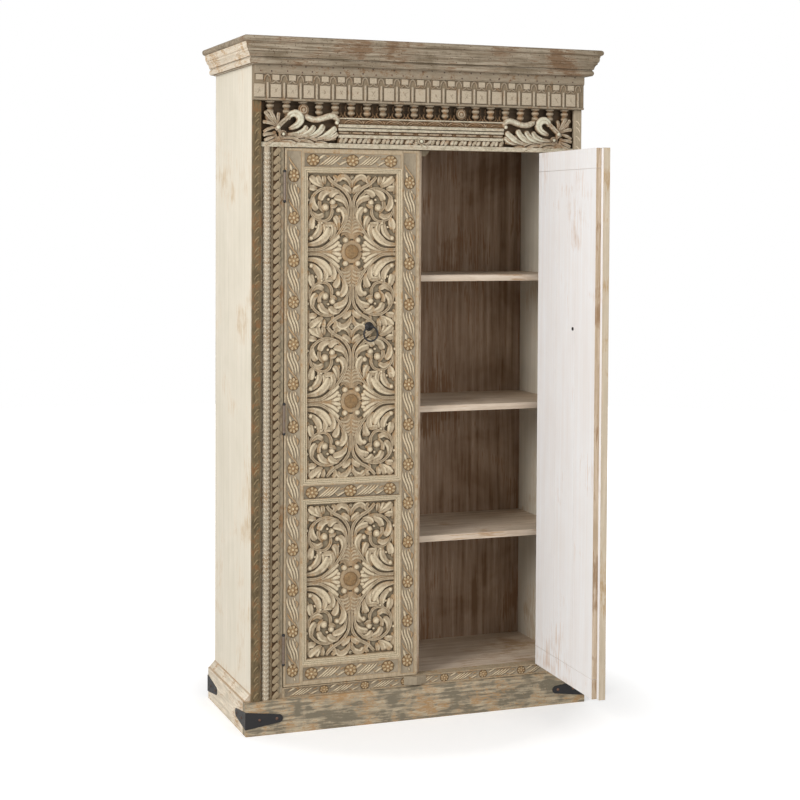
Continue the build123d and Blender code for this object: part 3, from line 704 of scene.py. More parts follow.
for n in range(13):
    x = -256 + 42.6 * n + 2.5 * sin(n * 2.3)
    bars += [drawn(x, 1822, bar) for bar in (
        [(-17, 0.5, 3.0), (-13, 0.8, 4.4), (0, 0.3, 4.6), (12, 0.6, 4.4), (16.5, 0.4, 2.8)],
        [(20, -3, 1.8), (21, 0.5, 2.4), (20.5, 4, 1.6)])]
for name, strokes, cap in (("gadroons", gadroons, 7), ("arches", arches, 5.5), ("bars", bars, 4.5)):
    cut = carve(name, [stroke for stroke in strokes if max(abs(x) for x, _, _ in stroke) < row_end],
                round_cut, row_ground, cap, roughness=0.6)
    header.append(mark_relief(cut, row_ground, -208.5, 0.98))
header = join("carved_header_rows", *header)
header_paint = painted_wood("header_paint", "X", cover=0.5, brush=0.4, streak=(180, 90), patch=44.0,
                            bare_share=0.2, hollow=0.008, grime_and_shade_share=0.95, ground=(0.16, 0.095, 0.045),
                            edge=None, pits=0.1, wash=(0.62, 0.54, 0.42), under=(0.29, 0.225, 0.145),
                            bare=(0.27, 0.14, 0.055), grime_and_shade=(0.04, 0.024, 0.012))
stand_for(header, "cabinet", "carved_wood", header_paint, "carved_header")


# ---- Header boss ----
# An eye in a ring with a curled leaf under it, cut from one small block and pinned over the
# middle of the gadroons.
boss_x, boss_z = -4, 1801
boss_strokes = [
    [(9.2 * cos(n * pi / 5 + 0.3), 8.6 * sin(n * pi / 5 + 0.3), 2.5) for n in range(11)],
    [(-4, -9, 2), (3, -13, 4.5), (12, -16.5, 4.2), (20, -19, 3.2), (23, -15, 1.6)],
    [(-9, -6, 1.6), (-16, -9, 3.2), (-24, -9, 2.6), (-29, -6, 1.2)],
    [(8, -7, 1.6), (16, -7, 3.4), (23, -3, 2.8), (25, 3, 1.2)],
    [(-10, 3, 1.4), (-17, 1, 2.8), (-22, 5, 1.2)]]
leaves = carve("leaves", [drawn(boss_x, boss_z, stroke) for stroke in boss_strokes], round_cut, -208.5, 5)
eye = copies("eye", button(), [at(boss_x, -209, boss_z, 6.2, 4.8, 6.2)])
stand_for(mark_relief(join("boss_eye", leaves, eye), -206.5, -212), "cabinet", "carved_wood",
          header_paint, "header_boss")


# ---- Scroll brackets ----
# Pierced acanthus scrolls in the two corners between the posts and the header. Each is sawn
# and carved from a board and nailed to the face frame.
leaf_cut = [(-1, -0.5), (-1, 0.4), (-0.9, 0.95), (-0.66, 1.3), (-0.4, 1.22), (-0.1, 0.86),
            (0.2, 0.74), (0.5, 0.86), (0.74, 0.84), (0.93, 0.5), (1, 0.1), (1, -0.5)]
stem_cut = [(-1, -0.6), (-1, 0.9), (-0.72, 1.55), (-0.3, 1.6), (0, 1.15), (0.3, 1.6),
            (0.72, 1.55), (1, 0.9), (1, -0.6)]


def lobe(half_width, *points):
    """A fat leaf lobe: thin at its root, full along most of it, with a rounded head."""
    last = len(points) - 1
    made = [(u, v, half_width * min(1.0, 0.45 + 1.1 * n / last) * (0.93 if n == last else 1))
            for n, (u, v) in enumerate(points)]
    (u0, v0), (u1, v1) = points[-2], points[-1]
    length = hypot(u1 - u0, v1 - v0)
    for reach, share in ((0.42, 0.74), (0.7, 0.22)):
        made.append((u1 + (u1 - u0) / length * half_width * reach,
                     v1 + (v1 - v0) / length * half_width * reach, half_width * share))
    return made


bracket_bodies = [
    [(-470, 1797, 8), (-442, 1802, 15), (-402, 1806, 18), (-360, 1809, 19), (-320, 1811, 18),
     (-282, 1811, 12)],
    [(-467, 1837, 5), (-479, 1849, 14), (-491, 1862, 16), (-500, 1874, 8)],
    [(-474, 1821, 5), (-484, 1808, 12), (-492, 1798, 12), (-499, 1788, 8)],
    [(-476, 1784, 9), (-476, 1798, 9.5), (-476, 1813, 8)]]
bracket_stems = [
    [(-474, 1826, 5), (-463, 1839, 6.8), (-449, 1852, 6.8), (-436, 1864, 6.5)],
    [(-434, 1858, 5), (-430, 1870, 9), (-416, 1877, 11), (-402, 1872, 11.5), (-396, 1858, 11),
     (-404, 1844, 9.5), (-419, 1835, 8), (-431, 1830.5, 4)]]
bracket_horn = [
    [(-387, 1872, 3), (-379, 1869, 8.5), (-366, 1863, 9.5), (-350, 1859.5, 9.5), (-332, 1862, 9.5),
     (-314, 1868, 10), (-298, 1872, 10), (-285, 1869, 9.5), (-278, 1859, 8), (-281, 1850, 4)]]
bracket_lobes = [
    (9, (-436, 1812), (-416, 1814), (-397, 1818), (-384, 1826), (-378, 1835)),
    (9.5, (-414, 1806), (-391, 1810), (-373, 1817), (-360, 1827), (-354, 1836)),
    (10, (-382, 1804), (-360, 1809), (-343, 1818), (-331, 1829), (-325, 1839)),
    (10, (-349, 1800), (-328, 1806), (-310, 1815), (-296, 1825), (-287, 1833)),
    (8, (-322, 1799), (-305, 1803), (-291, 1809), (-281, 1817)),
    (5.5, (-464, 1788), (-444, 1792), (-426, 1791), (-410, 1784)),
    (5.5, (-458, 1799), (-436, 1803), (-414, 1801), (-399, 1794)),
    (5.5, (-416, 1794), (-394, 1797), (-372, 1794), (-357, 1787)),
    (5.5, (-400, 1804), (-380, 1806), (-360, 1803), (-345, 1797)),
    (5, (-384, 1784), (-366, 1786), (-354, 1784), (-345, 1780)),
    (5, (-350, 1789), (-334, 1791), (-320, 1789), (-309, 1785)),
    (6, (-468, 1838), (-482, 1851), (-494, 1864), (-506, 1878)),
    (6.5, (-467, 1840), (-475, 1854), (-483, 1868), (-491, 1881)),
    (5.5, (-465, 1842), (-466, 1855), (-466, 1866), (-464, 1875)),
    (6, (-470, 1837), (-485, 1844), (-498, 1848), (-511, 1849)),
    (5.5, (-470, 1833), (-484, 1832), (-498, 1827), (-510, 1820)),
    (6, (-477, 1814), (-489, 1814), (-501, 1813), (-511, 1810)),
    (6, (-476, 1807), (-487, 1803), (-496, 1799), (-506, 1795)),
    (6, (-475, 1798), (-486, 1792), (-495, 1787), (-505, 1783))]
bracket_curls = [[(-451 + 9.5 * cos(n * pi / 4), 1813 + 9 * sin(n * pi / 4), 3.6) for n in range(8)],
                 [(-470, 1836, 5), (-466, 1831, 6.5), (-463, 1824, 5), (-460, 1817, 3)]]
bracket_balls = [(-450, 1814, 5.5), (-404, 1819, 4), (-466, 1834, 7), (-281, 1852, 6.5)]


def on_side(side, strokes):
    """Strokes that were written for the left side, on side -1 or 1."""
    return [[(-side * x, z, w) for x, z, w in stroke] for stroke in strokes]


halves = []
for side in (-1, 1):
    balls = copies("balls", button(), [at(-side * x, -210, z, r, 6, r) for x, z, r in bracket_balls])
    for strokes, section, ground, cap, roughness, low, crest in (
            (bracket_bodies, round_cut, -202, 5, 0.35, -200, -214),
            (bracket_stems + bracket_curls, stem_cut, -204, 11, 0.35, -204, -213.5),
            (bracket_horn, round_cut, -205, 11, 1.6, -203, -213),
            ([lobe(w, *points) for w, *points in bracket_lobes], leaf_cut, -206, 9, 0.35, -205.5, -213)):
        cut = carve("bracket", on_side(side, strokes), section, ground, cap, roughness)
        halves.append(mark_relief(cut, low, crest))
    halves.append(mark_relief(balls, -206, -214))
stand_for(join("acanthus_brackets", *halves), "cabinet", "carved_wood", header_paint, "scroll_brackets")


# ---- Balusters ----
# A row of small turned posts between the carved header and the frieze, each pinned at both
# ends, with curled leaves between the middle ones and two turned rosettes.
def turned(name, profile, segments):
    """Turns a profile of (radius, height) points, in millimetres, round the Z axis."""
    mesh = bpy.data.meshes.new(name)
    mesh.from_pydata([(r / 1000, 0, z / 1000) for r, z in profile],
                     [(n, n + 1) for n in range(len(profile) - 1)], [])
    made = bpy.data.objects.new(name, mesh)
    bpy.context.scene.collection.objects.link(made)
    shape_with(made, "SCREW", steps=segments, render_steps=segments, use_merge_vertices=True,
               merge_threshold=0.00001)
    bpy.ops.object.mode_set(mode="EDIT")
    bpy.ops.mesh.select_all(action="SELECT")
    bpy.ops.mesh.remove_doubles(threshold=0.00001)
    bpy.ops.mesh.normals_make_consistent(inside=False)
    bpy.ops.object.mode_set(mode="OBJECT")
    bpy.ops.object.shade_smooth_by_angle(angle=radians(45))
    return made


row_start, row_pitch, row_depth = -490.2, 51.6, 0.85
baluster_row = [row_start + row_pitch * n for n in range(20)]
baluster = turned("baluster", [
    (0, 0), (6.5, 0), (6.5, 2), (4.6, 3.5), (4.8, 6), (8, 8), (10.8, 11), (11.4, 14.5), (10, 18.5),
    (7.2, 21), (7.2, 22.5), (10, 25), (12.2, 29), (12.2, 32.5), (9.5, 35.5), (7.6, 36.6),
    (8.2, 38), (12, 40.5), (14, 42.2), (14, 45), (0, 45)], 18)
balusters = copies("turned_balusters", baluster, [
    at(x, face - 1.5, header_top) @ Matrix.Diagonal((1, row_depth, 1, 1)) for x in baluster_row])
# Relief by distance from each baluster's axis: the slim necks take the dark ground tone, painted shade, and
# the bulges reach the lighter crest tone, a painted highlight.
store_relief(balusters, lambda x, y, z: min(1.0, max(0.0, (hypot(
    (x - row_start + row_pitch / 2) % row_pitch - row_pitch / 2, (y - face + 1.5) / row_depth) - 5) / 6.5)))
big_curl = ((2, 1, 1.6), (9, 1, 2.6), (16, 4, 2.8), (20, 10, 2.6), (18, 17, 2.0), (14.5, 18, 1.0))
small_curl = ((14, 22, 0.9), (17.5, 28, 1.7), (16.5, 36, 1.8), (13, 42, 0.9))
curls = []
for x in baluster_row[4:16]:
    for flip in (-1, 1):
        curls += [drawn(x, header_top, big_curl, flip), drawn(x, header_top, small_curl, flip)]
    curls.append(drawn(x, header_top, ((25.8, 1, 3.2), (25.8, 5, 3.6), (25.8, 10, 1.4))))
curls = carve("curls", [stroke for stroke in curls if max(abs(x) for x, _, _ in stroke) < 290],
              round_cut, -198, 5)
mark_relief(curls, -198.5, -204)
ring = turned("ring", [(0, 4), (4.5, 4), (6, 2.6), (7.5, 2.6), (9.5, 4.8), (11.5, 4.8), (12.5, 2.4),
                       (14.5, 2.4), (16.5, 3.6), (17, 2), (17, 0), (0, 0)], 20)
rings = copies("header_rings", ring, [
    at(x, -208, 1888.5) @ Matrix.Rotation(pi / 2, 4, "X") for x in (129, -387)])
mark_relief(rings, -209.5, -212)
baluster_paint = painted_wood("baluster_paint", "Z", cover=0.5, brush=0.4, streak=(170, 80), patch=45.0,
                              bare_share=0.3, hollow=0.012, grime_and_shade_share=0.9, ground=(0.10, 0.06, 0.03),
                              edge=None, pits=0.1, wash=(0.36, 0.30, 0.22), under=(0.17, 0.125, 0.075),
                              bare=(0.27, 0.135, 0.05), grime_and_shade=(0.03, 0.018, 0.009))
stand_for(join("turned_balusters", balusters, curls, rings), "cabinet", "carved_wood", baluster_paint,
          "balusters")


# ---- Frieze ----
# A thick board above the balusters. Its lower half is cut into pads between reeds, each reed
# under a small arch, and its plain upper half shows rows of nail holes.
(_, frieze_front, frieze_low), (_, _, frieze_high) = corners_of("frieze_board")
pitch, frieze_ground, low_band = 51.5, -226, frieze_low + 6
boards = [plank("board", -body_side, body_side, -226.5, -200.2, frieze_low, frieze_high, worn=0),
          plank("tongue", -531.8, 531.8, -201, header_back, frieze_low, frieze_high, worn=0)]
boards += [plank("band", -body_side, body_side, front, frieze_ground, low, high, worn=worn)
           for front, low, high, worn in ((frieze_front, 1994.5, frieze_high, 1.2),
                                          (frieze_front + 1.5, 1991, 1995.5, 0.9),
                                          (frieze_front + 2.5, frieze_low, low_band, 1.2))]
frieze, pads = [mark_relief(join("boards", *boards), -226, -229.5, 0.82)], []
reeds, arches, ogees = [], [], []
reed = ((0, 1918, 3.6), (0, 1925, 4.6), (0, 1948, 4.8), (0, 1966, 4.2))
foot = [(9.6, 1968, 1.6), (9.2, 1974, 2.6), (7.2, 1982, 3.0), (0, 1988.5, 3.2)]
arch = [(-x, z, w) for x, z, w in foot] + foot[-2::-1]
ogee = ((9.5, 1968, 1.8), (15, 1964.5, 2.6), (20, 1967, 2.8), (25.7, 1971.5, 2.8), (31.5, 1967, 2.8),
        (36.5, 1964.5, 2.6), (42, 1968, 1.8))
cross = ((-10.5, 1927, 1.2), (-5, 1934, 2.6), (0, 1941.5, 3.0), (5, 1949, 2.6), (10.5, 1956, 1.2))
for n in range(22):
    x = -505 + pitch * (n - 1)
    if abs(x) < 541:
        reeds.append(drawn(x + 0.4 * sin(n), 0, reed))
    arches.append(drawn(x, 0, arch))
    ogees.append(drawn(x, 0, ogee))
    if n:
        pads += [plank("pad", x - pitch + 8.8, x - 8.8, -229.2, frieze_ground, 1921.5, 1961.5, worn=3.0),
                 plank("spandrel", x - pitch + 14, x - 14, -229, frieze_ground, 1972, 1990, worn=2.2)]
        reeds += [drawn(x - pitch / 2, 0, cross, lean) for lean in (-1, 1)]
for name, strokes, cap in (("reeds", reeds, 4.8), ("arches", arches, 4.6), ("ogees", ogees, 4.0)):
    cut = carve(name, [stroke for stroke in strokes if max(abs(x) for x, _, _ in stroke) < 545],
                round_cut, -226.8, cap, roughness=0.5)
    frieze.append(mark_relief(cut, -226.4, -230))
frieze.append(mark_relief(join("pads", *pads), -226.4, -229, 1.02))
frieze_paint = painted_wood("frieze_paint", "X", cover=0.6, brush=0.6, streak=(160, 40), patch=30.0,
                            bare_share=0.22, hollow=0.005, grime_and_shade_share=0.6, ground=(0.24, 0.185, 0.12),
                            edge=None, pits=0.14, wash=(0.37, 0.31, 0.23), under=(0.225, 0.175, 0.115),
                            bare=(0.20, 0.11, 0.048), grime_and_shade=(0.04, 0.024, 0.012))
stand_for(join("carved_frieze", *frieze), "cabinet", "carved_wood", frieze_paint, "frieze_board")
hole_rows = (1999.5, 2015.6)
holes = [at(-528 + 20.5 * n + 7 * sin(n * 2.3), frieze_front - 0.2, hole_rows[n % 2] + 1.6 * sin(n * 1.7),
            2.3, 0.8, 2.5) for n in range(52)]
stand_for(copies("frieze_nail_heads", button(), holes), "cabinet", "rusty_nail", nail_rust)


# ---- Cornice ----
# Built-up mouldings on three sides under a thick top board. The runs are mitred at the front
# corners and nailed to the frieze and the sides.
cornice_paint = painted_wood("cornice_paint", "X", cover=0.58, brush=0.3, streak=(150, 8),
                             patch=9.0, bare_share=0.3, edge_share=0.6, pits=0.24,
                             wash=(0.43, 0.365, 0.275), under=(0.17, 0.128, 0.08),
                             bare=(0.17, 0.09, 0.04), grime_and_shade=(0.04, 0.025, 0.013))
cornice_side_paint = painted_wood("cornice_side_paint", "Y", cover=0.6, brush=0.45, streak=(120, 10),
                                  patch=8.0, bare_share=0.22, edge_share=0.6, pits=0.12,
                                  wash=(0.76, 0.68, 0.56), under=(0.52, 0.43, 0.315),
                                  bare=(0.42, 0.26, 0.12), grime_and_shade=(0.09, 0.06, 0.035))
# The moulding's section as (reach out from the carcass, height), from below.
cornice_steps = [(6, 2017.5), (7.5, 2019), (18, 2019.5), (21, 2023), (22.3, 2028), (21, 2033),
                 (18, 2036.5), (18, 2038.5), (22, 2040), (22.5, 2043.5), (24.5, 2049.5), (27.5, 2053.5),
                 (30.5, 2056), (31, 2061), (34, 2063), (35.5, 2069), (35.5, 2076), (37, 2078),
                 (37, 2081.8)]
half_width, depth, back_edge = body_side, 459, corners_of("side_panel_left")[1][1]
reach_before, height_before = cornice_steps[0]
bpy.ops.object.select_all(action="DESELECT")
bpy.ops.mesh.primitive_plane_add(size=1, location=(0, (back_edge - 465 / 2) / 1000, height_before / 1000))
bpy.context.object.scale = (2 * (half_width + reach_before) / 1000, 465 / 1000, 1)
cornice = fix_in_place(bpy.context.object)
bpy.ops.object.mode_set(mode="EDIT")
bpy.ops.mesh.select_mode(type="FACE")
bpy.ops.mesh.select_all(action="SELECT")
for reach, height in cornice_steps[1:]:
    bpy.ops.mesh.extrude_region_move(
        TRANSFORM_OT_translate={"value": (0, 0, (height - height_before) / 1000)})
    bpy.ops.transform.resize(
        value=((half_width + reach) / (half_width + reach_before),
               (depth + reach) / (depth + reach_before), 1),
        center_override=(0, back_edge / 1000, height / 1000))
    reach_before, height_before = reach, height
bpy.ops.mesh.select_all(action="SELECT")
bpy.ops.mesh.normals_make_consistent(inside=False)
bpy.ops.object.mode_set(mode="OBJECT")
carcass_top = plank("carcass_top", -body_side, body_side, frieze_front, 260, 1990, 2100, worn=0)
shape_with(cornice, "BOOLEAN", operation="DIFFERENCE", object=carcass_top)
bpy.data.objects.remove(carcass_top)
bpy.ops.object.shade_smooth_by_angle(angle=radians(32))
cornice.name = "cornice_runs"
cornice.data.materials.append(cornice_paint)
cornice.data.materials.append(cornice_side_paint)
for facet in cornice.data.polygons:
    facet.material_index = abs(facet.normal.x) > 0.1 and abs(facet.center.x) * 1000 > body_side
stand_for(cornice, "cabinet", "carved_wood", cornice_paint, "cornice_mouldings")
dress(cornice_paint, "carved_wood", "cornice_slab")


# ---- Doors ----
# Two framed doors with a carved panel above and below the lock rail. Stiles and rails carry a
# vine with rosettes in a sunk channel, mitred mouldings hold the panels, and plain upright
# boards back the whole door. The right door laps over the left one and stands open.
def scroll_quarter():
    """A quarter of the scrolling leaves round a medallion, as (across, up, half-width)."""
    stems = [
        [(143, 7, 5), (118, 7, 5.2), (97, 10, 5.2), (79, 20, 5.4), (62, 35, 5.4), (47, 52, 5.4),
         (33, 71, 5.4), (20, 95, 5.2), (14, 124, 5.2), (21, 156, 5.2), (37, 177, 5.2),
         (60, 191, 5.2), (86, 194, 5.2), (110, 185, 5.1), (126, 168, 5), (134.5, 147, 5),
         (133, 124, 5), (122, 106, 5), (104, 96, 5), (85, 94.5, 5), (70, 105, 5), (64, 122, 5),
         (67, 138, 3.5)],
        [(4.5, 98, 4.4), (4.5, 130, 4.8), (6, 156, 5.2), (17, 178, 5.6), (34, 195, 6),
         (52, 205, 6), (67, 217, 6), (79, 230, 5)],
        [(8, 34, 2.6), (10, 46, 3.6), (18, 54, 4), (29, 55, 3.8), (35, 48, 2.6)]]
    lobes = [
        (10.5, (93, 200), (108, 208), (122, 217), (131, 225)), (9, (95, 204), (105, 214), (110, 226)),
        (9.5, (112, 192), (124, 195), (134, 196)), (7.5, (88, 206), (90, 218), (91, 227)),
        (8.5, (3, 196), (7, 214), (19, 227), (34, 230), (43, 222)), (8.5, (3, 178), (10, 190), (24, 200)),
        (9.5, (66, 190), (78, 184), (94, 176), (101, 163)), (9.5, (38, 184), (50, 184), (62, 180), (68, 173)),
        (9.5, (16, 136), (22, 153), (37, 163), (52, 166)),
        (9.5, (34, 78), (24, 96), (22, 112), (28, 126), (34, 131)),
        (9.5, (44, 66), (45, 84), (48, 96), (53, 104)), (9.5, (126, 174), (127, 158), (124, 142), (116, 132)),
        (8, (129, 122), (119, 112), (106, 107), (95, 112)), (11, (122, 106), (128, 96), (131, 84), (132, 76)),
        (11.5, (143, 22), (115, 26), (93, 39), (80, 54), (74, 67)),
        (9.5, (140, 38), (124, 44), (110, 57), (104, 70), (103, 80)),
        (9, (72, 36), (62, 50), (58, 66), (61, 80)), (8.5, (92, 48), (86, 60), (84, 72), (87, 82)),
        (8, (56, 90), (60, 86), (72, 84), (84, 84)),
        (7, (60, 194), (60, 206), (50, 222), (56, 230)), (7, (138, 178), (140, 190), (139, 206), (139, 214)),
        (6.5, (140, 96), (141, 110), (140, 128), (140, 140)),
        (6.5, (90, 118), (96, 128), (104, 140), (104, 152)),
        (6.5, (47, 146), (56, 140), (66, 138)), (6, (0, 208), (4, 214), (9, 222)),
        (7, (92, 74), (96, 82), (104, 92)), (6, (140, 58), (140, 66), (139, 74)),
        (5.5, (40, 112), (42, 106), (44, 100)), (6, (12, 80), (20, 76), (28, 70))]
    raised = [[(1, v, 2.0), (0.24 * span, v + 9, w), (0.6 * span, v + 12, w), (span, v + 7, w * 0.8)]
              for v, span, w in ((52, 38, 4.6), (63, 33, 4.6), (74, 27, 4.4), (84, 21, 4.2), (93, 15, 4.0))]
    raised += [lobe(w, *points) for w, *points in (
        (7.5, (88, 12), (70, 24), (55, 36), (43, 47)), (7, (96, 3), (74, 9), (56, 18), (43, 29)),
        (7.5, (64, 3), (54, 5), (46, 7), (38, 9)), (6.5, (48, 22), (42, 20), (36, 18)))]
    buds = [(85.5, 136, 13), (62, 152, 11), (43, 128, 9.5), (131, 42, 9), (20, 36, 10.5),
            (0, 228, 8.5), (98, 88, 5.5), (116, 76, 5), (76, 160, 5), (142, 158, 6)]
    return stems, [lobe(w * 1.16, *points) for w, *points in lobes], raised, buds


def stile_leaves(flowers, flip):
    """White and ochre strokes of the leaves under each flower of an upright band: a leaf of
    three strands, two buds and a stem that leads to the next flower."""
    white, ochre = [], []
    steps = [above[1] - below[1] for above, below in zip(flowers, flowers[1:])]
    strands = [[(-18 + o, 19 + 2 * n, 1.0), (-18.5 + o, 34, 3.2), (-14 + o, 50, 3.7), (-7 + o, 66, 3.7),
                (-2 + o * 0.9, 82, 3.0), (1 + o * 0.8, 101, 1.0)] for n, o in enumerate((0, 9.6, 19.2))]
    for (x, z), step in zip([(flowers[0][0], flowers[0][1] + steps[0]), *flowers],
                            [steps[0], *steps, steps[-1]]):
        white += [drawn(x, z, points, flip, -step / 126) for points in (
            *strands, [(4, 22, 1.5), (7, 29, 3.4), (9, 36, 1.2)],
            [(-13, 92, 1.6), (-10.5, 99, 4.2), (-8.5, 107, 4.0), (-6, 113, 1.2)])]
        ochre += [drawn(x, z, points, flip, -step / 126) for points in (
            [(11, 34, 1.5), (14.5, 41, 3.8), (14, 50, 3.0), (11, 56, 1.2)],
            [(-17, 70, 1.3), (-12, 80, 2.7), (-1, 95, 2.9), (9, 107, 2.8), (15, 116, 1.2)])]
    return white, ochre


plug_wood = painted_wood("plug_wood", "Y", wash=(0.30, 0.205, 0.105), under=(0.20, 0.12, 0.055),
                         bare=(0.30, 0.17, 0.07), grime_and_shade=(0.05, 0.028, 0.012), streak=(220, 90),
                         patch=60.0, bare_share=0.3, edge=None)


def carved_panel(name, x0, x1, z0, z1, medallions):
    """A board with scrolling leaves round each medallion, from four quarters. Each medallion
    is a round plug in a ring on a low bed, with an ochre leaf at each side."""
    middle = (x0 + x1) / 2
    groups, buds, beds = ([], [], []), [], []
    *quarter_groups, quarter_buds = scroll_quarter()
    for height in medallions:
        for across, up in ((1, 1), (1, -1), (-1, 1), (-1, -1)):
            for group, strokes in zip(groups, quarter_groups):
                group += [drawn(middle, height, stroke, across, up) for stroke in strokes]
            buds += [at(middle + across * u, -185.5, height + up * v, r, 8.5, r) for u, v, r in quarter_buds]
        beds.append([(middle + 27 * cos(n * pi / 4), height + 27 * sin(n * pi / 4), 9) for n in range(9)])
        for turn in (1, -1):
            beds.append([(middle, height + turn * v, w)
                         for v, w in ((40, 16), (62, 34), (82, 27), (106, 13))])
            beds.append([(middle + turn * u, height, w)
                         for u, w in ((36, 20), (62, 34), (88, 20), (118, 9), (140, 8))])
    plug = turned("plug", [(0, 11.4), (8, 11.6), (15, 11.2), (19.5, 9.6), (22, 6.5), (22.5, 2), (22.5, 0),
                           (0, 0)], 12)
    plugs = copies("plugs", plug, [at(middle, -183.5, height) @ Matrix.Rotation(pi / 2, 4, "X")
                                   for height in medallions])
    ground = plank("ground", x0 + 0.05, x1 - 0.05, panel_ground, layer_back, z0, z1, worn=0)
    stems, lobes, raised = groups
    panel = join(name, carve("stems", stems, stem_cut, panel_ground, 10),
                 carve("lobes", lobes, leaf_cut, panel_ground, 11),
                 copies("buds", button(rings=6, segments=12), buds), ground)
    beds = carve("beds", beds, round_cut, panel_ground, 4)
    raised = carve("raised", raised, round_cut, -186.2, 5.5)
    for part, finish in ((panel, carved_paint), (beds, carved_paint), (raised, carved_paint),
                         (plugs, plug_wood)):
        part.data.materials.append(finish)
    return join(name, mark_relief(panel, -184.5, -192.8), mark_relief(beds, -180, -188, 0.55),
                mark_relief(raised, -186.4, -190.4), mark_relief(plugs, 0, -1, 0.8))


moulding_width = 15.5


def moulding(x0, x1, z0, z1):
    """Mitred lengths round a panel, stepping from the door's face down to the panel."""
    back_steps = [(moulding_width, 0)]
    front_steps = [(1.6, 0), (1.2, -2.2), (0.6, 0), (1.1, 1.3), (2.0, 0), (1.0, -2.4), (2.2, -0.4),
                   (1.0, 1.5), (1.8, 0), (1.0, -2.6), (2.0, -1.0)]
    bpy.ops.object.select_all(action="DESELECT")
    bpy.ops.mesh.primitive_cube_add(
        size=0.001, location=((x0 + x1) / 2000, (face + layer_back) / 2000, (z0 + z1) / 2000),
        scale=(abs(x1 - x0), layer_back - face, z1 - z0))
    ring = fix_in_place(bpy.context.object)
    bpy.ops.object.mode_set(mode="EDIT")
    bpy.ops.mesh.select_mode(type="FACE")
    for facing, steps in ((1, back_steps), (-1, front_steps)):
        bpy.ops.mesh.select_all(action="DESELECT")
        shape = bmesh.from_edit_mesh(ring.data)
        for facet in shape.faces:
            facet.select_set(facet.normal.y * facing > 0.9)
        bmesh.update_edit_mesh(ring.data)
        for width, rise in steps:
            bpy.ops.mesh.inset(thickness=width / 1000, depth=rise / 1000, use_even_offset=True)
        bpy.ops.mesh.delete(type="FACE")
    bpy.ops.mesh.select_mode(type="EDGE")
    bpy.ops.mesh.select_all(action="DESELECT")
    bpy.ops.mesh.select_non_manifold(extend=False)
    bpy.ops.mesh.bridge_edge_loops()
    bpy.ops.mesh.select_all(action="SELECT")
    bpy.ops.mesh.normals_make_consistent(inside=False)
    bpy.ops.object.mode_set(mode="OBJECT")
    bpy.ops.object.shade_smooth_by_angle(angle=radians(25))
    return mark_relief(ring, -188, -196.5)


door_open, (pin_x, pin_y) = radians(87.5), (444, -205)
(door_edge, _, door_low), (stile_inner, layer_back, door_high) = corners_of("left_door_hinge_stile")
meeting_inner = corners_of("left_door_meeting_stile")[0][0]
panel_ground, door_back = layer_back - 5, corners_of("left_door_backing")[1][1]
hinge_turn = at(pin_x, pin_y, 0) @ Matrix.Rotation(door_open, 4, "Z") @ at(-pin_x, -pin_y, 0)
carved_paint = painted_wood("carved_paint", "Z", cover=0.6, brush=0.6, streak=(170, 60), patch=36.0,
                            bare_share=0.14, hollow=0.010, grime_and_shade_share=0.8, edge=None, pits=0.08,
                            ground=(0.27, 0.22, 0.145), **greige)
door_inside_wash = painted_wood("door_inside_wash", "Z", wash=(0.85, 0.85, 0.86),
                                under=(0.77, 0.715, 0.68), bare=(0.62, 0.47, 0.37),
                                grime_and_shade=(0.30, 0.21, 0.15), cover=0.84, brush=0.5, streak=(60, 2.0),
                                patch=3.2, bare_share=0.08, hollow=0.003, grime_and_shade_share=0.35, edge_share=0.35)
door_edge_wash = painted_wood("door_edge_wash", "Z", wash=(0.66, 0.55, 0.43), under=(0.43, 0.325, 0.22),
                              bare=(0.26, 0.15, 0.07), grime_and_shade=(0.06, 0.035, 0.02), cover=0.5,
                              brush=0.4, streak=(120, 4), patch=5.0, bare_share=0.3, hollow=0.004,
                              edge=None)
door_rim_wash = painted_wood("door_rim_wash", "Z", wash=(0.66, 0.565, 0.44), under=(0.50, 0.415, 0.30),
                             bare=(0.42, 0.27, 0.13), grime_and_shade=(0.06, 0.035, 0.02), cover=0.5,
                             brush=0.5, streak=(120, 6), patch=6.0, bare_share=0.18, edge_share=0.4)
hinge_flowers = (1690, 1562, 1432, 1307, 1179, 1058, 927, 800, 677, 552, 428, 302, 181)
meeting_flowers = (1673, 1546, 1422, 1295, 1171, 1046, 921, 796, 675, 553, 428, 305, 180)
band_ground, band_crest, flower_ground = -196.6, -200.6, -196.4
rail_flowers = {"top_rail": (1738, (-351.6, -225, -100.6)), "lock_rail": (723.7, (-351.6, -227.9, -98.6)),
                "bottom_rail": (166.8, (-352, -225, -102.6))}
stiles = {"hinge_stile": (door_edge + 0.3, stile_inner, -437, -388, -412.5, hinge_flowers),
          "meeting_stile": (meeting_inner, None, -61, -14, -37.5, meeting_flowers)}


def hang(piece, hand, node_name, finish=None, slot_name="carved_wood"):
    """Hangs a piece on its door. The right door's pieces are made closed and swung open."""
    if hand == "right":
        piece.data.transform(hinge_turn)
    stand_for(piece, hand + "_door", slot_name, finish, f"{hand}_door_{node_name}")


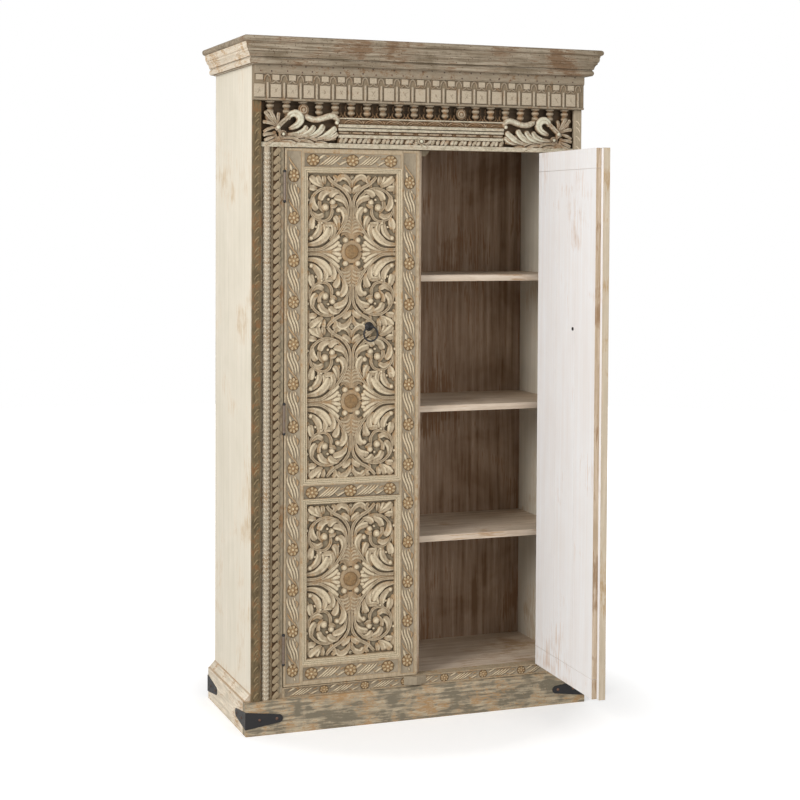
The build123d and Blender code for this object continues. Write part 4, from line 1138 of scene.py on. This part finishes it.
for side, hand, lap, backing_edge in ((1, "left", -6, 9), (-1, "right", 4, -11)):
    for label, (x0, x1, low_x, high_x, flower_x, heights) in stiles.items():
        x1 = lap if x1 is None else x1
        board = plank("board", side * x0, side * x1, face, layer_back, door_low, door_high, worn=0.8)
        sink(board, side * low_x, side * high_x, door_low + 6, door_high - 6, 3.2, wall=3.5)
        for finish in (band_paint, door_inside_wash, door_rim_wash):
            board.data.materials.append(finish)
        for facet in board.data.polygons:
            at_rim = label == "meeting_stile" and abs(facet.center.x * 1000 - side * lap) < 0.1
            facet.material_index = 1 if facet.center.y * 1000 > layer_back - 0.1 else 2 * at_rim
        flowers = [(side * flower_x, z) for z in heights]
        leaves = leaf_band(*stile_leaves(flowers, side), band_ground, band_crest, side * (low_x + 1),
                           side * (high_x - 1), door_low + 8, door_high - 8)
        blooms = rosettes(flowers, 41, flower_ground, 37)
        hang(join(f"{hand}_{label}_carved", board, blooms, *leaves), hand, label)

    for label, (middle, places) in rail_flowers.items():
        (_, _, z0), (_, _, z1) = corners_of(f"left_door_{label}")
        board = plank("board", side * stile_inner, side * meeting_inner, face, layer_back, z0, z1, worn=0.8)
        sink(board, side * (stile_inner + 1.5), side * (meeting_inner - 1.5), middle - 21.5, middle + 22,
             3.2, wall=2.5)
        board.data.materials.append(band_paint)
        blooms = rosettes([(side * x, middle) for x in places], 38, flower_ground, 43)
        places = (places[0] - 125, *places, places[-1] + 125)
        leaves = [on_side(-side, strokes) for strokes in rail_leaves([(x, middle) for x in places])]
        leaves = leaf_band(*leaves, band_ground, band_crest, side * (stile_inner + 2.5),
                           side * (meeting_inner - 2), middle - 21, middle + 21.5)
        hang(join(f"{hand}_{label}_carved", board, blooms, *leaves), hand, label)

    panels = [(label, corners_of("left_door_" + label), medallions) for label, medallions in (
        ("upper_panel", (1459, 999)), ("lower_panel", (448,)))]
    rings = [moulding(side * stile_inner, side * meeting_inner, z0 - moulding_width, z1 + moulding_width)
             for _, ((_, _, z0), (_, _, z1)), _ in panels]
    hang(join(f"{hand}_panel_mouldings", *rings), hand, "mouldings", carved_paint)
    for label, ((x0, _, z0), (x1, _, z1)), medallions in panels:
        panel = carved_panel(f"{hand}_{label}_carved", *sorted((side * x0, side * x1)), z0, z1, medallions)
        hang(panel, hand, label)

    width = (backing_edge - door_edge) / 3
    boards = [plank("rail", side * door_edge, side * backing_edge, layer_back, door_back, z0, z1)
              for z0, z1 in ((door_low, door_low + 59.7), (door_high - 59.7, door_high))]
    for n in range(3):
        left = door_edge + n * width
        boards.append(plank("board", side * (left + 0.15), side * (left + width - 0.15), layer_back,
                            door_back, door_low + 60, door_high - 60, worn=0.8))
    backing = join(f"{hand}_backing_boards", *boards)
    backing.data.materials.append(door_inside_wash)
    backing.data.materials.append(door_edge_wash)
    for facet in backing.data.polygons:
        facet.material_index = (abs(facet.center.x * 1000 - side * backing_edge) < 0.6
                                or facet.center.y * 1000 < layer_back + 0.4)
    hang(backing, hand, "backing", slot_name="door_inside_wood")


# ---- Hinges ----
# Three steel butt hinges on each door, let into the gap beside the stile and turning on loose
# pins. The paint has gone and the leaves have rusted, and the pins end in round black tips.
hinge_steel = iron("hinge_steel", (0.17, 0.13, 0.10), (0.13, 0.07, 0.035), 0.5, 0.5)
dress(hinge_steel, "hinge_steel", "hinge_frame_leaves", "left_door_hinge_leaves",
      "right_door_hinge_leaves")
dress(black_iron, "black_iron", "hinge_pins")


# ---- Ring pulls ----
# A forged ring hangs from the eye of a round rose, so that it can be lifted to pull the door.
# The rose's stud goes through the door to a nut on the inside. All are painted black.
dress(black_iron, "black_iron", "left_door_pull_ring", "right_door_pull_ring",
      "left_door_pull_rose", "right_door_pull_rose", "left_door_pull_nut", "right_door_pull_nut")
